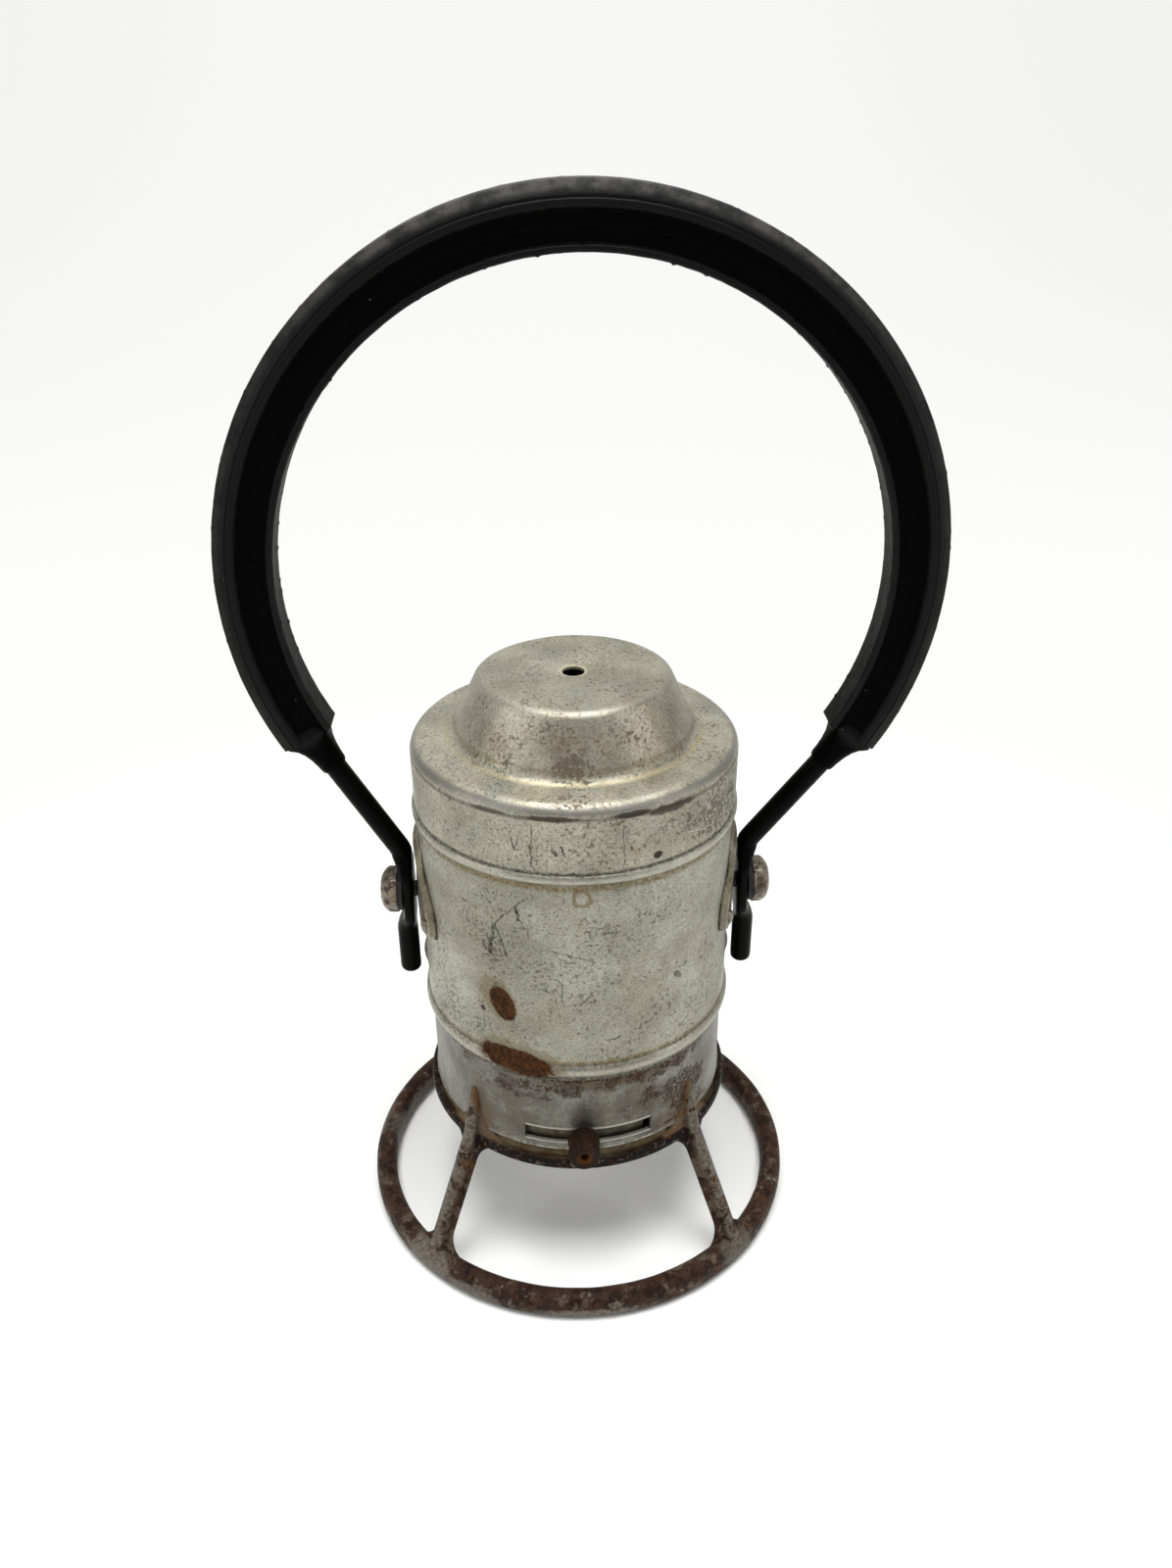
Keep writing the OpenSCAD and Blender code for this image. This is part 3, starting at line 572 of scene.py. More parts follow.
class Shader(Graph):
    """Builds one procedural material, whose sockets pass from call to call."""

    def __init__(self, name: str) -> None:
        """Start a material that reads the piece's own coordinates, in millimetres."""
        self.material = bpy.data.materials.new(name)
        self.material.use_nodes = True
        super().__init__(self.material.node_tree)
        self.surface = self.nodes["Principled BSDF"]
        coordinates = self.nodes.new("ShaderNodeTexCoord")
        self.place = self.vector("MULTIPLY", coordinates.outputs["Object"], (1000, 1000, 1000))
        self.shared: dict[str, Socket] = {}

    def vector(self, kind: str, a: object, b: object = (0, 0, 0)) -> Socket:
        """Add vector maths."""
        node = self.add("ShaderNodeVectorMath", kind, a, b)
        return node.outputs["Value" if kind in ("LENGTH", "DOT_PRODUCT") else "Vector"]

    def split(self, vector: Socket) -> tuple[Socket, Socket, Socket]:
        """Split a vector into its three parts."""
        x, y, z = self.node("ShaderNodeSeparateXYZ", Vector=vector).outputs
        return x, y, z

    def join(self, x: object, y: object, z: object = 0.0) -> Socket:
        """Join three numbers into a vector."""
        return self.node("ShaderNodeCombineXYZ", X=x, Y=y, Z=z).outputs[0]

    def noise(
        self, size: float, detail: float = 4, rough: float = 0.55, at: Optional[Socket] = None,
        stretch: tuple[float, float, float] = (1, 1, 1), seed: float = 0,
    ) -> Socket:
        """Add cloud noise.

        Args:
            size: Size of its largest features in millimetres.
            detail: Number of finer layers.
            rough: Strength of the finer layers.
            at: Coordinates to read, or the piece's own.
            stretch: Factors that squeeze the pattern along each axis.
            seed: Offset that gives another pattern.

        Returns:
            A value from 0 to 1.
        """
        moved_at = self.vector("MULTIPLY", self.place if at is None else at, stretch)
        if seed:
            moved_at = self.vector("ADD", moved_at, (seed * 17.3, seed * 31.7, seed * 7.9))
        return self.node(
            "ShaderNodeTexNoise", Vector=moved_at, Scale=1 / size, Detail=detail, Roughness=rough
        ).outputs["Fac"]

    def cells(self, size: float, seed: float = 0) -> Socket:
        """Add the distance to scattered points, about a size apart."""
        at = self.vector("ADD", self.place, (seed * 13.1, seed * 5.7, seed * 3.3))
        return self.node("ShaderNodeTexVoronoi", Vector=at, Scale=1 / size).outputs["Distance"]

    def between(self, value: object, low: float, high: float) -> Socket:
        """Rise smoothly from 0 at low to 1 at high, or fall where high is the lower."""
        first, last = (1.0, 0.0) if high < low else (0.0, 1.0)
        node = self.node(
            "ShaderNodeMapRange", Value=value, From_Min=min(low, high), From_Max=max(low, high),
            To_Min=first, To_Max=last,
        )
        node.interpolation_type = "SMOOTHSTEP"
        return node.outputs["Result"]

    def clouds(self, low: float, high: float, *sizes: float, **more: object) -> Socket:
        """Rise from 0 to 1 where cloud noise of these sizes goes from low to high."""
        return self.between(self.noise(*sizes, **more), low, high)

    def blend(self, kind: str, first: int, values: tuple[object, object, object]) -> bpy.types.Node:
        """Add a mixer of a kind, whose two mixed inputs start at a number."""
        node = self.nodes.new("ShaderNodeMix")
        node.data_type = kind
        for place_at, value in zip((0, first, first + 1), values):
            self.plug(node.inputs[place_at], value)
        return node

    def mix(self, share: object, a: object, b: object) -> Socket:
        """Mix two colours."""
        return self.blend("RGBA", 6, (share, a, b)).outputs[2]

    def mix_value(self, share: object, a: object, b: object) -> Socket:
        """Mix two numbers."""
        return self.blend("FLOAT", 2, (share, a, b)).outputs[0]

    def tint(self, tone: object, colour: object, mask: object, amount: float) -> Socket:
        """Lay a share of a colour over a tone where a mask is."""
        return self.mix(self.times(mask, amount), tone, colour)

    def around(self, radius: float) -> Socket:
        """Unroll the surface round the upright axis: length from the front, then height."""
        x, y, z = self.split(self.place)
        angle = self.math("ARCTAN2", x, self.times(y, -1.0))
        return self.join(self.times(angle, radius), z)

    def wobble(self, at: Socket, size: float, amount: float) -> Socket:
        """Shake coordinates by noise of a size, so that what is drawn in them looks hand made."""
        shake = self.join(self.noise(size, 3, seed=51), self.noise(size, 3, seed=52))
        shake = self.vector("SUBTRACT", shake, (0.5, 0.5, 0))
        return self.vector("ADD", at, self.vector("MULTIPLY", shake, (2 * amount, 2 * amount, 0)))

    def spot(self, at: Socket, spot: "Spot") -> Socket:
        """Mask a ragged oval.

        Args:
            at: Unrolled coordinates.
            spot: The oval's place, size and edge.

        Returns:
            1 inside and 0 outside.
        """
        near = self.vector("SUBTRACT", at, (spot.middle[0], spot.middle[1], 0))
        if spot.tilt:
            turn = self.node("ShaderNodeVectorRotate", Vector=near, Angle=math.radians(-spot.tilt))
            turn.rotation_type = "Z_AXIS"
            near = turn.outputs[0]
        near = self.vector("MULTIPLY", near, (1 / spot.half[0], 1 / spot.half[1], 0))
        reach = self.vector("LENGTH", near)
        reach = self.plus(reach, self.times(self.edge(), spot.ragged))
        if spot.hollow:
            ring = self.unsigned(self.minus(reach, 0.8))
            return self.times(self.between(ring, 0.34, 0.08), spot.strength)
        mask = self.between(reach, 1 + spot.soft, 1 - spot.soft)
        return self.times(mask, spot.strength)

    def edge(self) -> Socket:
        """Give the noise that makes spots ragged, from -0.5 to 0.5."""
        if "edge" not in self.shared:
            self.shared["edge"] = self.minus(self.noise(3.2, 6, 0.66, seed=41), 0.5)
        return self.shared["edge"]

    def broken(self) -> Socket:
        """Give the fine noise that breaks smudges up, from 0.4 to 1."""
        if "broken" not in self.shared:
            fine = self.between(self.noise(1.0, 5, 0.7, seed=43), 0.4, 0.6)
            self.shared["broken"] = self.plus(0.4, self.times(fine, 0.6))
        return self.shared["broken"]

    def stroke(self, at: Socket, line: "Scratch") -> Socket:
        """Mask a scratch that fades and thickens along its way.

        Args:
            at: Unrolled coordinates.
            line: The scratch's ends and width.

        Returns:
            1 on the line and 0 beside it.
        """
        start, end, width = line.start, line.end, line.width
        along = (end[0] - start[0], end[1] - start[1], 0)
        square = along[0] ** 2 + along[1] ** 2
        near = self.vector("SUBTRACT", at, (start[0], start[1], 0))
        share = self.add("ShaderNodeMath", "DIVIDE", self.vector("DOT_PRODUCT", near, along), square)
        share.use_clamp = True
        scaled = self.add("ShaderNodeVectorMath", "SCALE", along)
        self.links.new(share.outputs[0], scaled.inputs["Scale"])
        away = self.vector("LENGTH", self.vector("SUBTRACT", near, scaled.outputs[0]))
        away = self.plus(away, self.times(self.edge(), width * 1.3))
        mask = self.between(away, width * 0.8, width * 0.35)
        return self.times(self.times(mask, self.broken()), line.strength)

    def most(self, masks: Sequence[Socket]) -> Socket:
        """Take the strongest of several masks."""
        whole = masks[0]
        for mask in masks[1:]:
            whole = self.larger(whole, mask)
        return whole

    def bump(self, height: Socket, depth: float, under: Optional[Socket] = None) -> Socket:
        """Raise the surface by a height from 0 to 1, with its depth in millimetres."""
        node = self.node("ShaderNodeBump", Strength=1.0, Distance=depth * MM, Height=height)
        if under is not None:
            self.links.new(under, node.inputs["Normal"])
        return node.outputs[0]

    def finish(
        self, colour: object, metal: object, rough: object, normal: Optional[Socket] = None,
        shine: object = None,
    ) -> bpy.types.Material:
        """Connect the surface and give the material."""
        inputs = {"Base Color": colour, "Metallic": metal, "Roughness": rough, "Normal": normal}
        inputs["Specular IOR Level"] = shine
        for name, value in inputs.items():
            if value is not None:
                self.plug(self.surface.inputs[name], value)
        return self.material


@dataclass(frozen=True)
class Spot:
    """A ragged oval on an unrolled surface, in millimetres."""

    middle: Point
    half: Point
    kind: Mark = Mark.DARK
    ragged: float = 0.5
    tilt: float = 0
    strength: float = 1.0
    soft: float = 0.1
    hollow: bool = False

    def crowds(self) -> bool:
        """Tell a soft dark spot, which makes the speckle denser, from one that is drawn."""
        return self.kind is Mark.DARK and self.soft > CROWDING


@dataclass(frozen=True)
class Scratch:
    """A line on an unrolled surface, in millimetres."""

    start: Point
    end: Point
    width: float = 0.4
    kind: Mark = Mark.DARK
    strength: float = 1.0


def ovals(kind: Mark, *rows: tuple[float, ...]) -> tuple[Spot, ...]:
    """Make spots of one kind.

    Args:
        kind: What they are.
        rows: Middle, half sizes, raggedness, tilt, strength and softness of each.

    Returns:
        The spots.
    """
    return tuple(Spot(row[:2], row[2:4], kind, *row[4:]) for row in rows)


def lines(kind: Mark, *rows: tuple[float, ...]) -> tuple[Scratch, ...]:
    """Make scratches of one kind from rows of start, end, width and strength."""
    return tuple(Scratch(row[:2], row[2:4], row[4], kind, *row[5:]) for row in rows)


@dataclass(frozen=True)
class Band:
    """A line of dirt, wear or painted shadow round the body at one height."""

    height: float
    half: float
    kind: Mark = Mark.STAIN
    strength: float = 0.7
    patchy: float = 0.5


@dataclass(frozen=True)
class Rim:
    """A burnished edge, painted highlight, dark line or stained hollow at a radius and height."""

    radius: float
    height: float
    reach: float
    colour: Colour
    strength: float = 0.8
    rough: float = 0.3


MARK_COLOURS = {
    Mark.RUST: hue("40291a"),
    Mark.STAIN: hue("6a5937"),
    Mark.DARK: hue("332c25"),
    Mark.BRIGHT: hue("cfc8b4"),
}


@dataclass(frozen=True)
class TinPlate:
    """Old tinned sheet: dull warm grey, speckled, stained and scratched."""

    name: str
    light: Colour = hue("aaa89b")
    shade: Colour = hue("8b8879")
    warm: Colour = hue("8c8265")
    radius: float = 46
    speckle: float = 0.66
    grain: float = 0.55
    crowd: float = 0.085
    spots: tuple[Spot, ...] = ()
    scratches: tuple[Scratch, ...] = ()
    bands: tuple[Band, ...] = ()
    rims: tuple[Rim, ...] = ()

    def ground(self, s: Shader, crowd: Optional[Socket]) -> tuple[Socket, Socket, Socket]:
        """Mix the surface's tone: clouds, warm and cool patches, grain and speckle.

        Args:
            s: The material's shader.
            crowd: Mask of the places where the speckle is dense.

        Returns:
            The tone, the grain and the dark speckle.
        """
        tone = s.mix(s.clouds(0.34, 0.66, 26, 5, 0.6), self.shade, self.light)
        tone = s.tint(tone, self.warm, s.clouds(0.48, 0.72, 11, 6, 0.64, seed=3), 0.38)
        tone = s.tint(tone, hue("868c85"), s.clouds(0.5, 0.7, 13, 5, 0.6, seed=13), 0.4)
        streak = s.noise(8, 5, 0.6, at=s.around(self.radius), stretch=(4, 0.5, 1), seed=5)
        tone = s.tint(tone, hue("69624f"), s.between(streak, 0.55, 0.78), 0.18)
        bright = s.clouds(0.56, 0.68, 0.7, 4, 0.7, seed=17)
        tone = s.tint(tone, hue("c4c1b4"), bright, 0.28)
        grain = s.noise(0.65, 4, 0.75, seed=1)
        tone = s.tint(tone, hue("5d5747"), s.between(grain, 0.44, 0.62), self.grain)
        dense = s.times(s.clouds(0.34, 0.62, 12, 5, 0.66, seed=21), 0.09)
        if crowd is not None:
            dense = s.plus(dense, s.times(crowd, self.crowd))
        fleck = s.plus(s.noise(1.1, 6, 0.72, seed=2), dense)
        pepper = s.times(s.between(fleck, 0.625, 0.675), self.speckle)
        return s.mix(pepper, tone, hue("3c3327")), grain, pepper

    def crowded(self, s: Shader) -> Optional[Socket]:
        """Gather the soft dark spots, where the speckle crowds."""
        at = s.around(self.radius)
        soft = [s.spot(at, spot) for spot in self.spots if spot.crowds()]
        return s.most(soft) if soft else None

    def masks(self, s: Shader) -> dict[Mark, Socket]:
        """Gather the strongest mask of each kind of mark."""
        at = s.around(self.radius)
        shaken = s.wobble(at, 2.6, 0.7)
        _, _, height = s.split(s.place)
        found: dict[Mark, list[Socket]] = {}
        for spot in self.spots:
            if not spot.crowds():
                found.setdefault(spot.kind, []).append(s.spot(at, spot))
        for line in self.scratches:
            found.setdefault(line.kind, []).append(s.stroke(shaken, line))
        for band in self.bands:
            away = s.unsigned(s.minus(height, band.height))
            away = s.plus(away, s.times(s.edge(), band.half * 1.2))
            mask = s.between(away, band.half, band.half * 0.2)
            gaps = s.clouds(0.3, 0.32 + band.patchy * 0.36, 6, 5, 0.66, seed=band.height)
            mask = s.times(s.times(mask, gaps), s.broken())
            found.setdefault(band.kind, []).append(s.times(mask, band.strength))
        return {kind: s.most(parts) for kind, parts in found.items()}

    def make(self) -> bpy.types.Material:
        """Build the material."""
        s = Shader(self.name)
        tone, grain, pepper = self.ground(s, self.crowded(s))
        x, y, height = s.split(s.place)
        out = s.vector("LENGTH", s.join(x, y))
        rough: object = s.mix_value(s.clouds(0.35, 0.65, 8, 4, 0.6, seed=3), 0.4, 0.54)
        # Rims: burnished wear, stains, dark lines and painted highlights along edges.
        for rim in self.rims:
            offset = s.join(s.minus(out, rim.radius), s.minus(height, rim.height))
            near = s.between(s.vector("LENGTH", offset), rim.reach, rim.reach * 0.3)
            worn = s.clouds(0.25, 0.5, 5, 5, 0.66, seed=rim.height)
            share = s.times(near, s.plus(0.35, s.times(worn, 0.65)))
            share = s.times(share, rim.strength)
            tone = s.mix(share, tone, rim.colour)
            rough = s.mix_value(share, rough, rim.rough)
        rust = s.times(pepper, 0.8)
        found = self.masks(s)
        for kind in (Mark.BRIGHT, Mark.STAIN, Mark.DARK, Mark.RUST):
            if kind not in found:
                continue
            colour: object = MARK_COLOURS[kind]
            if kind is Mark.RUST:
                colour = s.mix(s.clouds(0.38, 0.62, 1.4, 6, 0.7, seed=8), hue("24150b"), hue("4d2f14"))
                rust = s.larger(rust, found[kind])
            tone = s.mix(found[kind], tone, colour)
        if Mark.DARK in found:
            rust = s.larger(rust, s.times(found[Mark.DARK], 0.6))
        metal = s.mix_value(rust, 0.72, 0.05)
        rough = s.mix_value(rust, rough, 0.8)
        relief = s.bump(s.noise(14, 3, 0.5, seed=6), 0.22)
        relief = s.bump(s.noise(3.4, 3, 0.55, seed=7), 0.07, relief)
        relief = s.bump(grain, 0.045, relief)
        crust = s.minus(s.noise(0.7, 4, 0.7, seed=9), 0.55)
        relief = s.bump(s.times(rust, crust), 0.14, relief)
        return s.finish(tone, metal, rough, relief, s.mix_value(rust, 0.5, 0.1))


@dataclass(frozen=True)
class WornIron:
    """Iron that is rusty brown, bare grey where it is rubbed and khaki where dirt has dried."""

    name: str
    brown: Colour = hue("2d1f18")
    warm: Colour = hue("3e2b21")
    dark: Colour = hue("1a110d")
    grey: Colour = hue("716a5f")
    khaki: Colour = hue("5d5344")
    orange: Colour = hue("5d3d1c")
    bare: float = 0.3
    dirt: float = 0.3
    radius: float = 65
    crest: float = 0
    lip: tuple[float, float] = (0, 0)
    dimple: tuple[float, float] = (0, 0)
    spots: tuple[Spot, ...] = ()

    def make(self) -> bpy.types.Material:
        """Build the material."""
        s = Shader(self.name)
        x, y, height = s.split(s.place)
        out = s.vector("LENGTH", s.join(x, y))
        fine = s.noise(1.0, 5, 0.72, seed=2)
        bare = s.clouds(0.66 - self.bare * 0.3, 0.7 - self.bare * 0.3, 10, 7, 0.7)
        if self.crest:
            side = s.unsigned(s.minus(s.unsigned(x), s.unsigned(y)))
            beyond = s.between(out, self.lip[0] - 0.6, self.lip[0] + 0.6)
            crest = s.times(s.between(side, 3.7, 2.4), beyond)
            torn = s.clouds(0.43, 0.5, 5, 6, 0.74, seed=19)
            bare = s.larger(bare, s.times(s.times(crest, torn), self.crest))
        for spot in self.spots:
            bare = s.larger(bare, s.spot(s.around(self.radius), spot))
        tone = s.mix(s.clouds(0.35, 0.65, 5, 6, 0.7, seed=4), self.brown, self.warm)
        tone = s.tint(tone, self.dark, s.clouds(0.5, 0.56, 4, 7, 0.72, seed=7), 0.8)
        dirt = s.clouds(0.68 - self.dirt * 0.25, 0.76 - self.dirt * 0.25, 7, 6, 0.7, seed=29)
        tone = s.tint(tone, self.khaki, dirt, 0.7)
        rust = s.clouds(0.6, 0.68, 6, 6, 0.7, seed=11)
        if self.lip[1]:
            edge, top = self.lip
            root = s.times(
                s.between(out, edge + 0.6, edge - 0.6), s.between(height, top - 0.4, top + 0.8)
            )
            shade = s.times(
                s.between(out, edge - 1.2, edge - 0.4), s.between(height, top + 0.5, top - 0.1)
            )
            shade = s.times(shade, s.between(out, edge + 2.2, edge + 1.4))
            tone = s.tint(tone, self.dark, shade, 0.95)
            bare = s.times(bare, s.minus(1.0, s.times(shade, 0.75)))
            tone = s.tint(tone, self.khaki, root, 0.85)
            rust = s.larger(rust, s.times(root, s.clouds(0.42, 0.56, 4, 5, 0.7, seed=23)))
        tone = s.tint(tone, self.orange, rust, 0.75)
        scuffed = s.mix(s.between(fine, 0.4, 0.6), hue("4b443a"), self.grey)
        tone = s.tint(tone, scuffed, bare, 0.92)
        pit = s.clouds(0.58, 0.63, 1.5, 6, 0.72, seed=31)
        tone = s.tint(tone, hue("1a110c"), pit, 0.8)
        metal = s.mix_value(s.times(bare, s.minus(1.0, pit)), 0.0, 0.45)
        rough = s.mix_value(bare, s.mix_value(fine, 0.42, 0.62), 0.42)
        if self.lip[1]:
            speck = s.times(shade, s.clouds(0.56, 0.62, 1.5, 6, 0.72, seed=37))
            tone = s.tint(tone, hue("857469"), speck, 0.5)
        if self.dimple[1]:
            aside = s.join(s.minus(x, self.dimple[0]), s.minus(height, self.dimple[1]))
            near = s.between(s.vector("LENGTH", aside), 2.6, 1.6)
            tone = s.tint(tone, hue("5e3810"), near, 0.6)
        relief = s.bump(s.noise(2.4, 5, 0.65, seed=5), 0.3)
        relief = s.bump(fine, 0.12, relief)
        relief = s.bump(s.times(pit, -1.0), 0.12, relief)
        # Rust stays dull, so that the white room doesn't lift it to grey.
        return s.finish(tone, metal, rough, relief, s.mix_value(bare, 0.07, 0.28))


@dataclass(frozen=True)
class Plated:
    """Grey plated sheet that rusts in brown patches, with painted highlights at ledge and slot."""

    name: str
    grey: Colour = hue("7d7c75")
    dull: Colour = hue("554f47")
    rust: Colour = hue("452f21")
    radius: float = 45.2
    amount: float = 0.5
    spots: tuple[Spot, ...] = ()
    stains: tuple[Spot, ...] = ()
    bands: tuple[Band, ...] = ()
    slot: tuple[float, float, float, float] = (0, 0, 0, 0)
    foot: tuple[float, float] = (0, 0)

    def make(self) -> bpy.types.Material:
        """Build the material."""
        s = Shader(self.name)
        at = s.around(self.radius)
        along, height, _ = s.split(at)
        tone = s.mix(s.clouds(0.35, 0.65, 14, 6, 0.66), self.dull, self.grey)
        fine = s.noise(0.9, 5, 0.72, seed=1)
        tone = s.tint(tone, hue("4a443c"), s.between(fine, 0.42, 0.6), 0.5)
        stain = s.times(s.clouds(0.52, 0.68, 9, 6, 0.66, seed=15), 0.5)
        for spot in self.stains:
            stain = s.larger(stain, s.spot(at, spot))
        tone = s.tint(tone, hue("594a2f"), stain, 0.8)
        field_here = s.noise(6, 7, 0.72, seed=4)
        for spot in self.spots:
            field_here = s.plus(field_here, s.times(s.spot(at, spot), 0.22))
        for band in self.bands:
            away = s.unsigned(s.minus(height, band.height))
            mask = s.times(s.between(away, band.half, band.half * 0.2), band.strength * 0.24)
            field_here = s.plus(field_here, mask)
        low = 0.7 - self.amount * 0.16
        rust = s.between(field_here, low, low + 0.15)
        rust = s.times(rust, s.plus(0.25, s.times(s.between(fine, 0.36, 0.56), 0.7)))
        brown = s.mix(s.clouds(0.35, 0.65, 1.8, 5, 0.66, seed=6), hue("261a14"), self.rust)
        tone = s.mix(rust, tone, brown)
        low_part = s.between(height, self.foot[0] + 0.5, self.foot[0] - 0.3)
        dirt = s.mix(s.clouds(0.4, 0.6, 5, 6, 0.7, seed=33), hue("4a3519"), hue("5c5138"))
        tone = s.tint(tone, dirt, low_part, 0.9)
        rust = s.larger(rust, s.times(low_part, 0.8))
        # Painted highlight along the ledge's crest and round the slot's folded edge.
        ledge = s.between(s.unsigned(s.minus(height, self.foot[1])), 0.55, 0.2)
        side = s.minus(s.unsigned(s.minus(along, self.slot[0])), self.slot[1])
        above = s.minus(s.unsigned(s.minus(height, self.slot[2])), self.slot[3])
        reach = s.larger(side, above)
        fold = s.times(s.between(reach, 0.8, 0.5), s.between(reach, -0.3, 0.0))
        fold = s.times(fold, s.between(side, 0.2, -0.6))
        under = s.between(height, self.slot[2] + 1, self.slot[2] - 1)
        fold = s.times(fold, s.plus(0.8, s.times(under, 0.2)))
        near = s.between(side, 6, -1)
        ledge = s.times(ledge, s.plus(0.15, s.times(near, 0.6)))
        ledge = s.times(ledge, s.clouds(0.38, 0.56, 2.0, 5, 0.72, seed=35))
        ledge = s.larger(ledge, fold)
        tone = s.tint(tone, hue("c6c3b6"), ledge, 0.85)
        rust = s.times(rust, s.minus(1.0, ledge))
        metal = s.mix_value(rust, s.mix_value(stain, 0.75, 0.4), 0.1)
        rough = s.mix_value(rust, s.mix_value(stain, 0.4, 0.55), 0.75)
        relief = s.bump(s.noise(9, 4, 0.5, seed=8), 0.15)
        relief = s.bump(fine, 0.06, relief)
        relief = s.bump(rust, 0.06, relief)
        return s.finish(tone, metal, rough, relief, s.mix_value(rust, 0.5, 0.12))


@dataclass(frozen=True)
class Enamel:
    """Black paint over rod, with dust and small chips."""

    name: str = "bail_black"
    paint: Colour = hue("030303")

    def make(self) -> bpy.types.Material:
        """Build the material."""
        s = Shader(self.name)
        dust = s.clouds(0.62, 0.8, 1.3, 4, 0.6)
        chip = s.clouds(0.75, 0.79, 2.2, 5, 0.66, seed=3)
        tone = s.tint(self.paint, hue("1c1a18"), dust, 0.25)
        tone = s.mix(chip, tone, hue("40362c"))
        rough = s.mix_value(s.noise(5, 3), 0.24, 0.4)
        relief = s.bump(s.noise(4, 4, 0.6, seed=5), 0.12)
        return s.finish(tone, 0.0, rough, relief, 0.045)


@dataclass(frozen=True)
class Rubber:
    """Moulded black rubber, scuffed grey on its tread, with painted highlights on top and ribs."""

    bow_centre: Point
    tread_radius: float
    name: str = "grip_rubber"
    black: Colour = hue("030303")
    # Grey of the scuffed tread, which also carries painted light at the bow's top.
    scuffed: Colour = hue("464544")

    def make(self) -> bpy.types.Material:
        """Build the material."""
        s = Shader(self.name)
        x, depth, z = s.split(s.place)
        raised = s.between(s.unsigned(depth), 4.5, 5.2)
        side = s.minus(x, self.bow_centre[0])
        up = s.minus(z, self.bow_centre[1])
        reach = s.vector("LENGTH", s.join(side, up))
        tread = s.between(reach, self.tread_radius - 3.4, self.tread_radius - 1.2)
        worn = s.clouds(0.36, 0.62, 6, 6, 0.68)
        # Grey rises towards the bow's top: scuffing, and painted light from above.
        crown = s.between(up, self.tread_radius * 0.55, self.tread_radius * 0.98)
        fine = s.noise(0.9, 4, 0.65, seed=2)
        grey = s.times(tread, s.plus(0.2, s.times(worn, 0.5)))
        grey = s.times(grey, s.plus(0.35, s.times(crown, 1.1)))
        tone = s.mix(grey, self.black, self.scuffed)
        # Grey on the inner lip, in patches, and on the raised ribs is painted highlight.
        inner = s.between(reach, self.tread_radius - 14.6, self.tread_radius - 15.4)
        tone = s.tint(tone, hue("1c1b1b"), s.times(inner, worn), 0.7)
        tone = s.tint(tone, hue("1b1a1a"), raised, 0.45)
        dust = s.between(s.cells(7, 1), 0.04, 0.02)
        tone = s.tint(tone, hue("6d6a64"), dust, 0.5)
        rough = s.mix_value(tread, s.mix_value(fine, 0.3, 0.5), 0.55)
        relief = s.bump(s.noise(3, 4, 0.6, seed=4), 0.2)
        relief = s.bump(fine, 0.06, relief)
        shown = s.larger(tread, s.times(raised, 0.8))
        return s.finish(tone, 0.0, rough, relief, s.mix_value(shown, 0.02, 0.09))


@dataclass(frozen=True)
class PlainMetal:
    """Metal of one tone with dull patches and pits."""

    name: str
    light: Colour
    dark: Colour
    metal: float = 0.9
    rough: float = 0.35
    pits: float = 0.4
    size: float = 4
    dark_inside: float = 0

    def make(self) -> bpy.types.Material:
        """Build the material."""
        s = Shader(self.name)
        tone = s.mix(s.clouds(0.35, 0.65, self.size, 5, 0.6), self.dark, self.light)
        pit = s.clouds(0.5, 0.6, self.size * 0.36, 5, 0.68, seed=3)
        tone = s.tint(tone, hue("35291e"), pit, self.pits)
        metal = s.mix_value(s.times(pit, self.pits), self.metal, 0.2)
        if self.dark_inside:
            x, _, _ = s.split(s.place)
            inside = s.between(s.unsigned(x), self.dark_inside, self.dark_inside - 0.2)
            tone = s.mix(inside, tone, hue("0a0908"))
            metal = s.mix_value(inside, metal, 0.0)
        rough = s.mix_value(pit, self.rough, min(1.0, self.rough + 0.3))
        relief = s.bump(s.times(pit, -1.0), 0.12 * self.pits + 0.01)
        relief = s.bump(s.noise(0.6, 3, 0.6, seed=5), 0.03, relief)
        return s.finish(tone, metal, rough, relief)


@dataclass(frozen=True)
class Board:
    """Pressed fibre board or a printed wrap without print."""

    name: str
    face: Colour
    fleck: Colour
    rough: float = 0.7

    def make(self) -> bpy.types.Material:
        """Build the material."""
        s = Shader(self.name)
        tone = s.mix(s.clouds(0.4, 0.7, 2.5, 5, 0.6), self.face, self.fleck)
        relief = s.bump(s.noise(0.9, 4, 0.6, seed=2), 0.05)
        rough = s.mix_value(s.noise(8, 3, seed=4), self.rough - 0.1, self.rough + 0.1)
        return s.finish(tone, 0.0, rough, relief)


@dataclass(frozen=True)
class ClearGlass:
    """Thin clear bulb glass with a faint haze."""

    name: str = "bulb_glass"

    def make(self) -> bpy.types.Material:
        """Build the material."""
        s = Shader(self.name)
        haze = s.mix_value(s.noise(3, 3), 0.02, 0.09)
        s.surface.inputs["Transmission Weight"].default_value = 1.0
        s.surface.inputs["IOR"].default_value = 1.45
        return s.finish(hue("f4f6f5"), 0.0, haze, s.bump(s.noise(5, 2), 0.03))


# Sub-assemblies


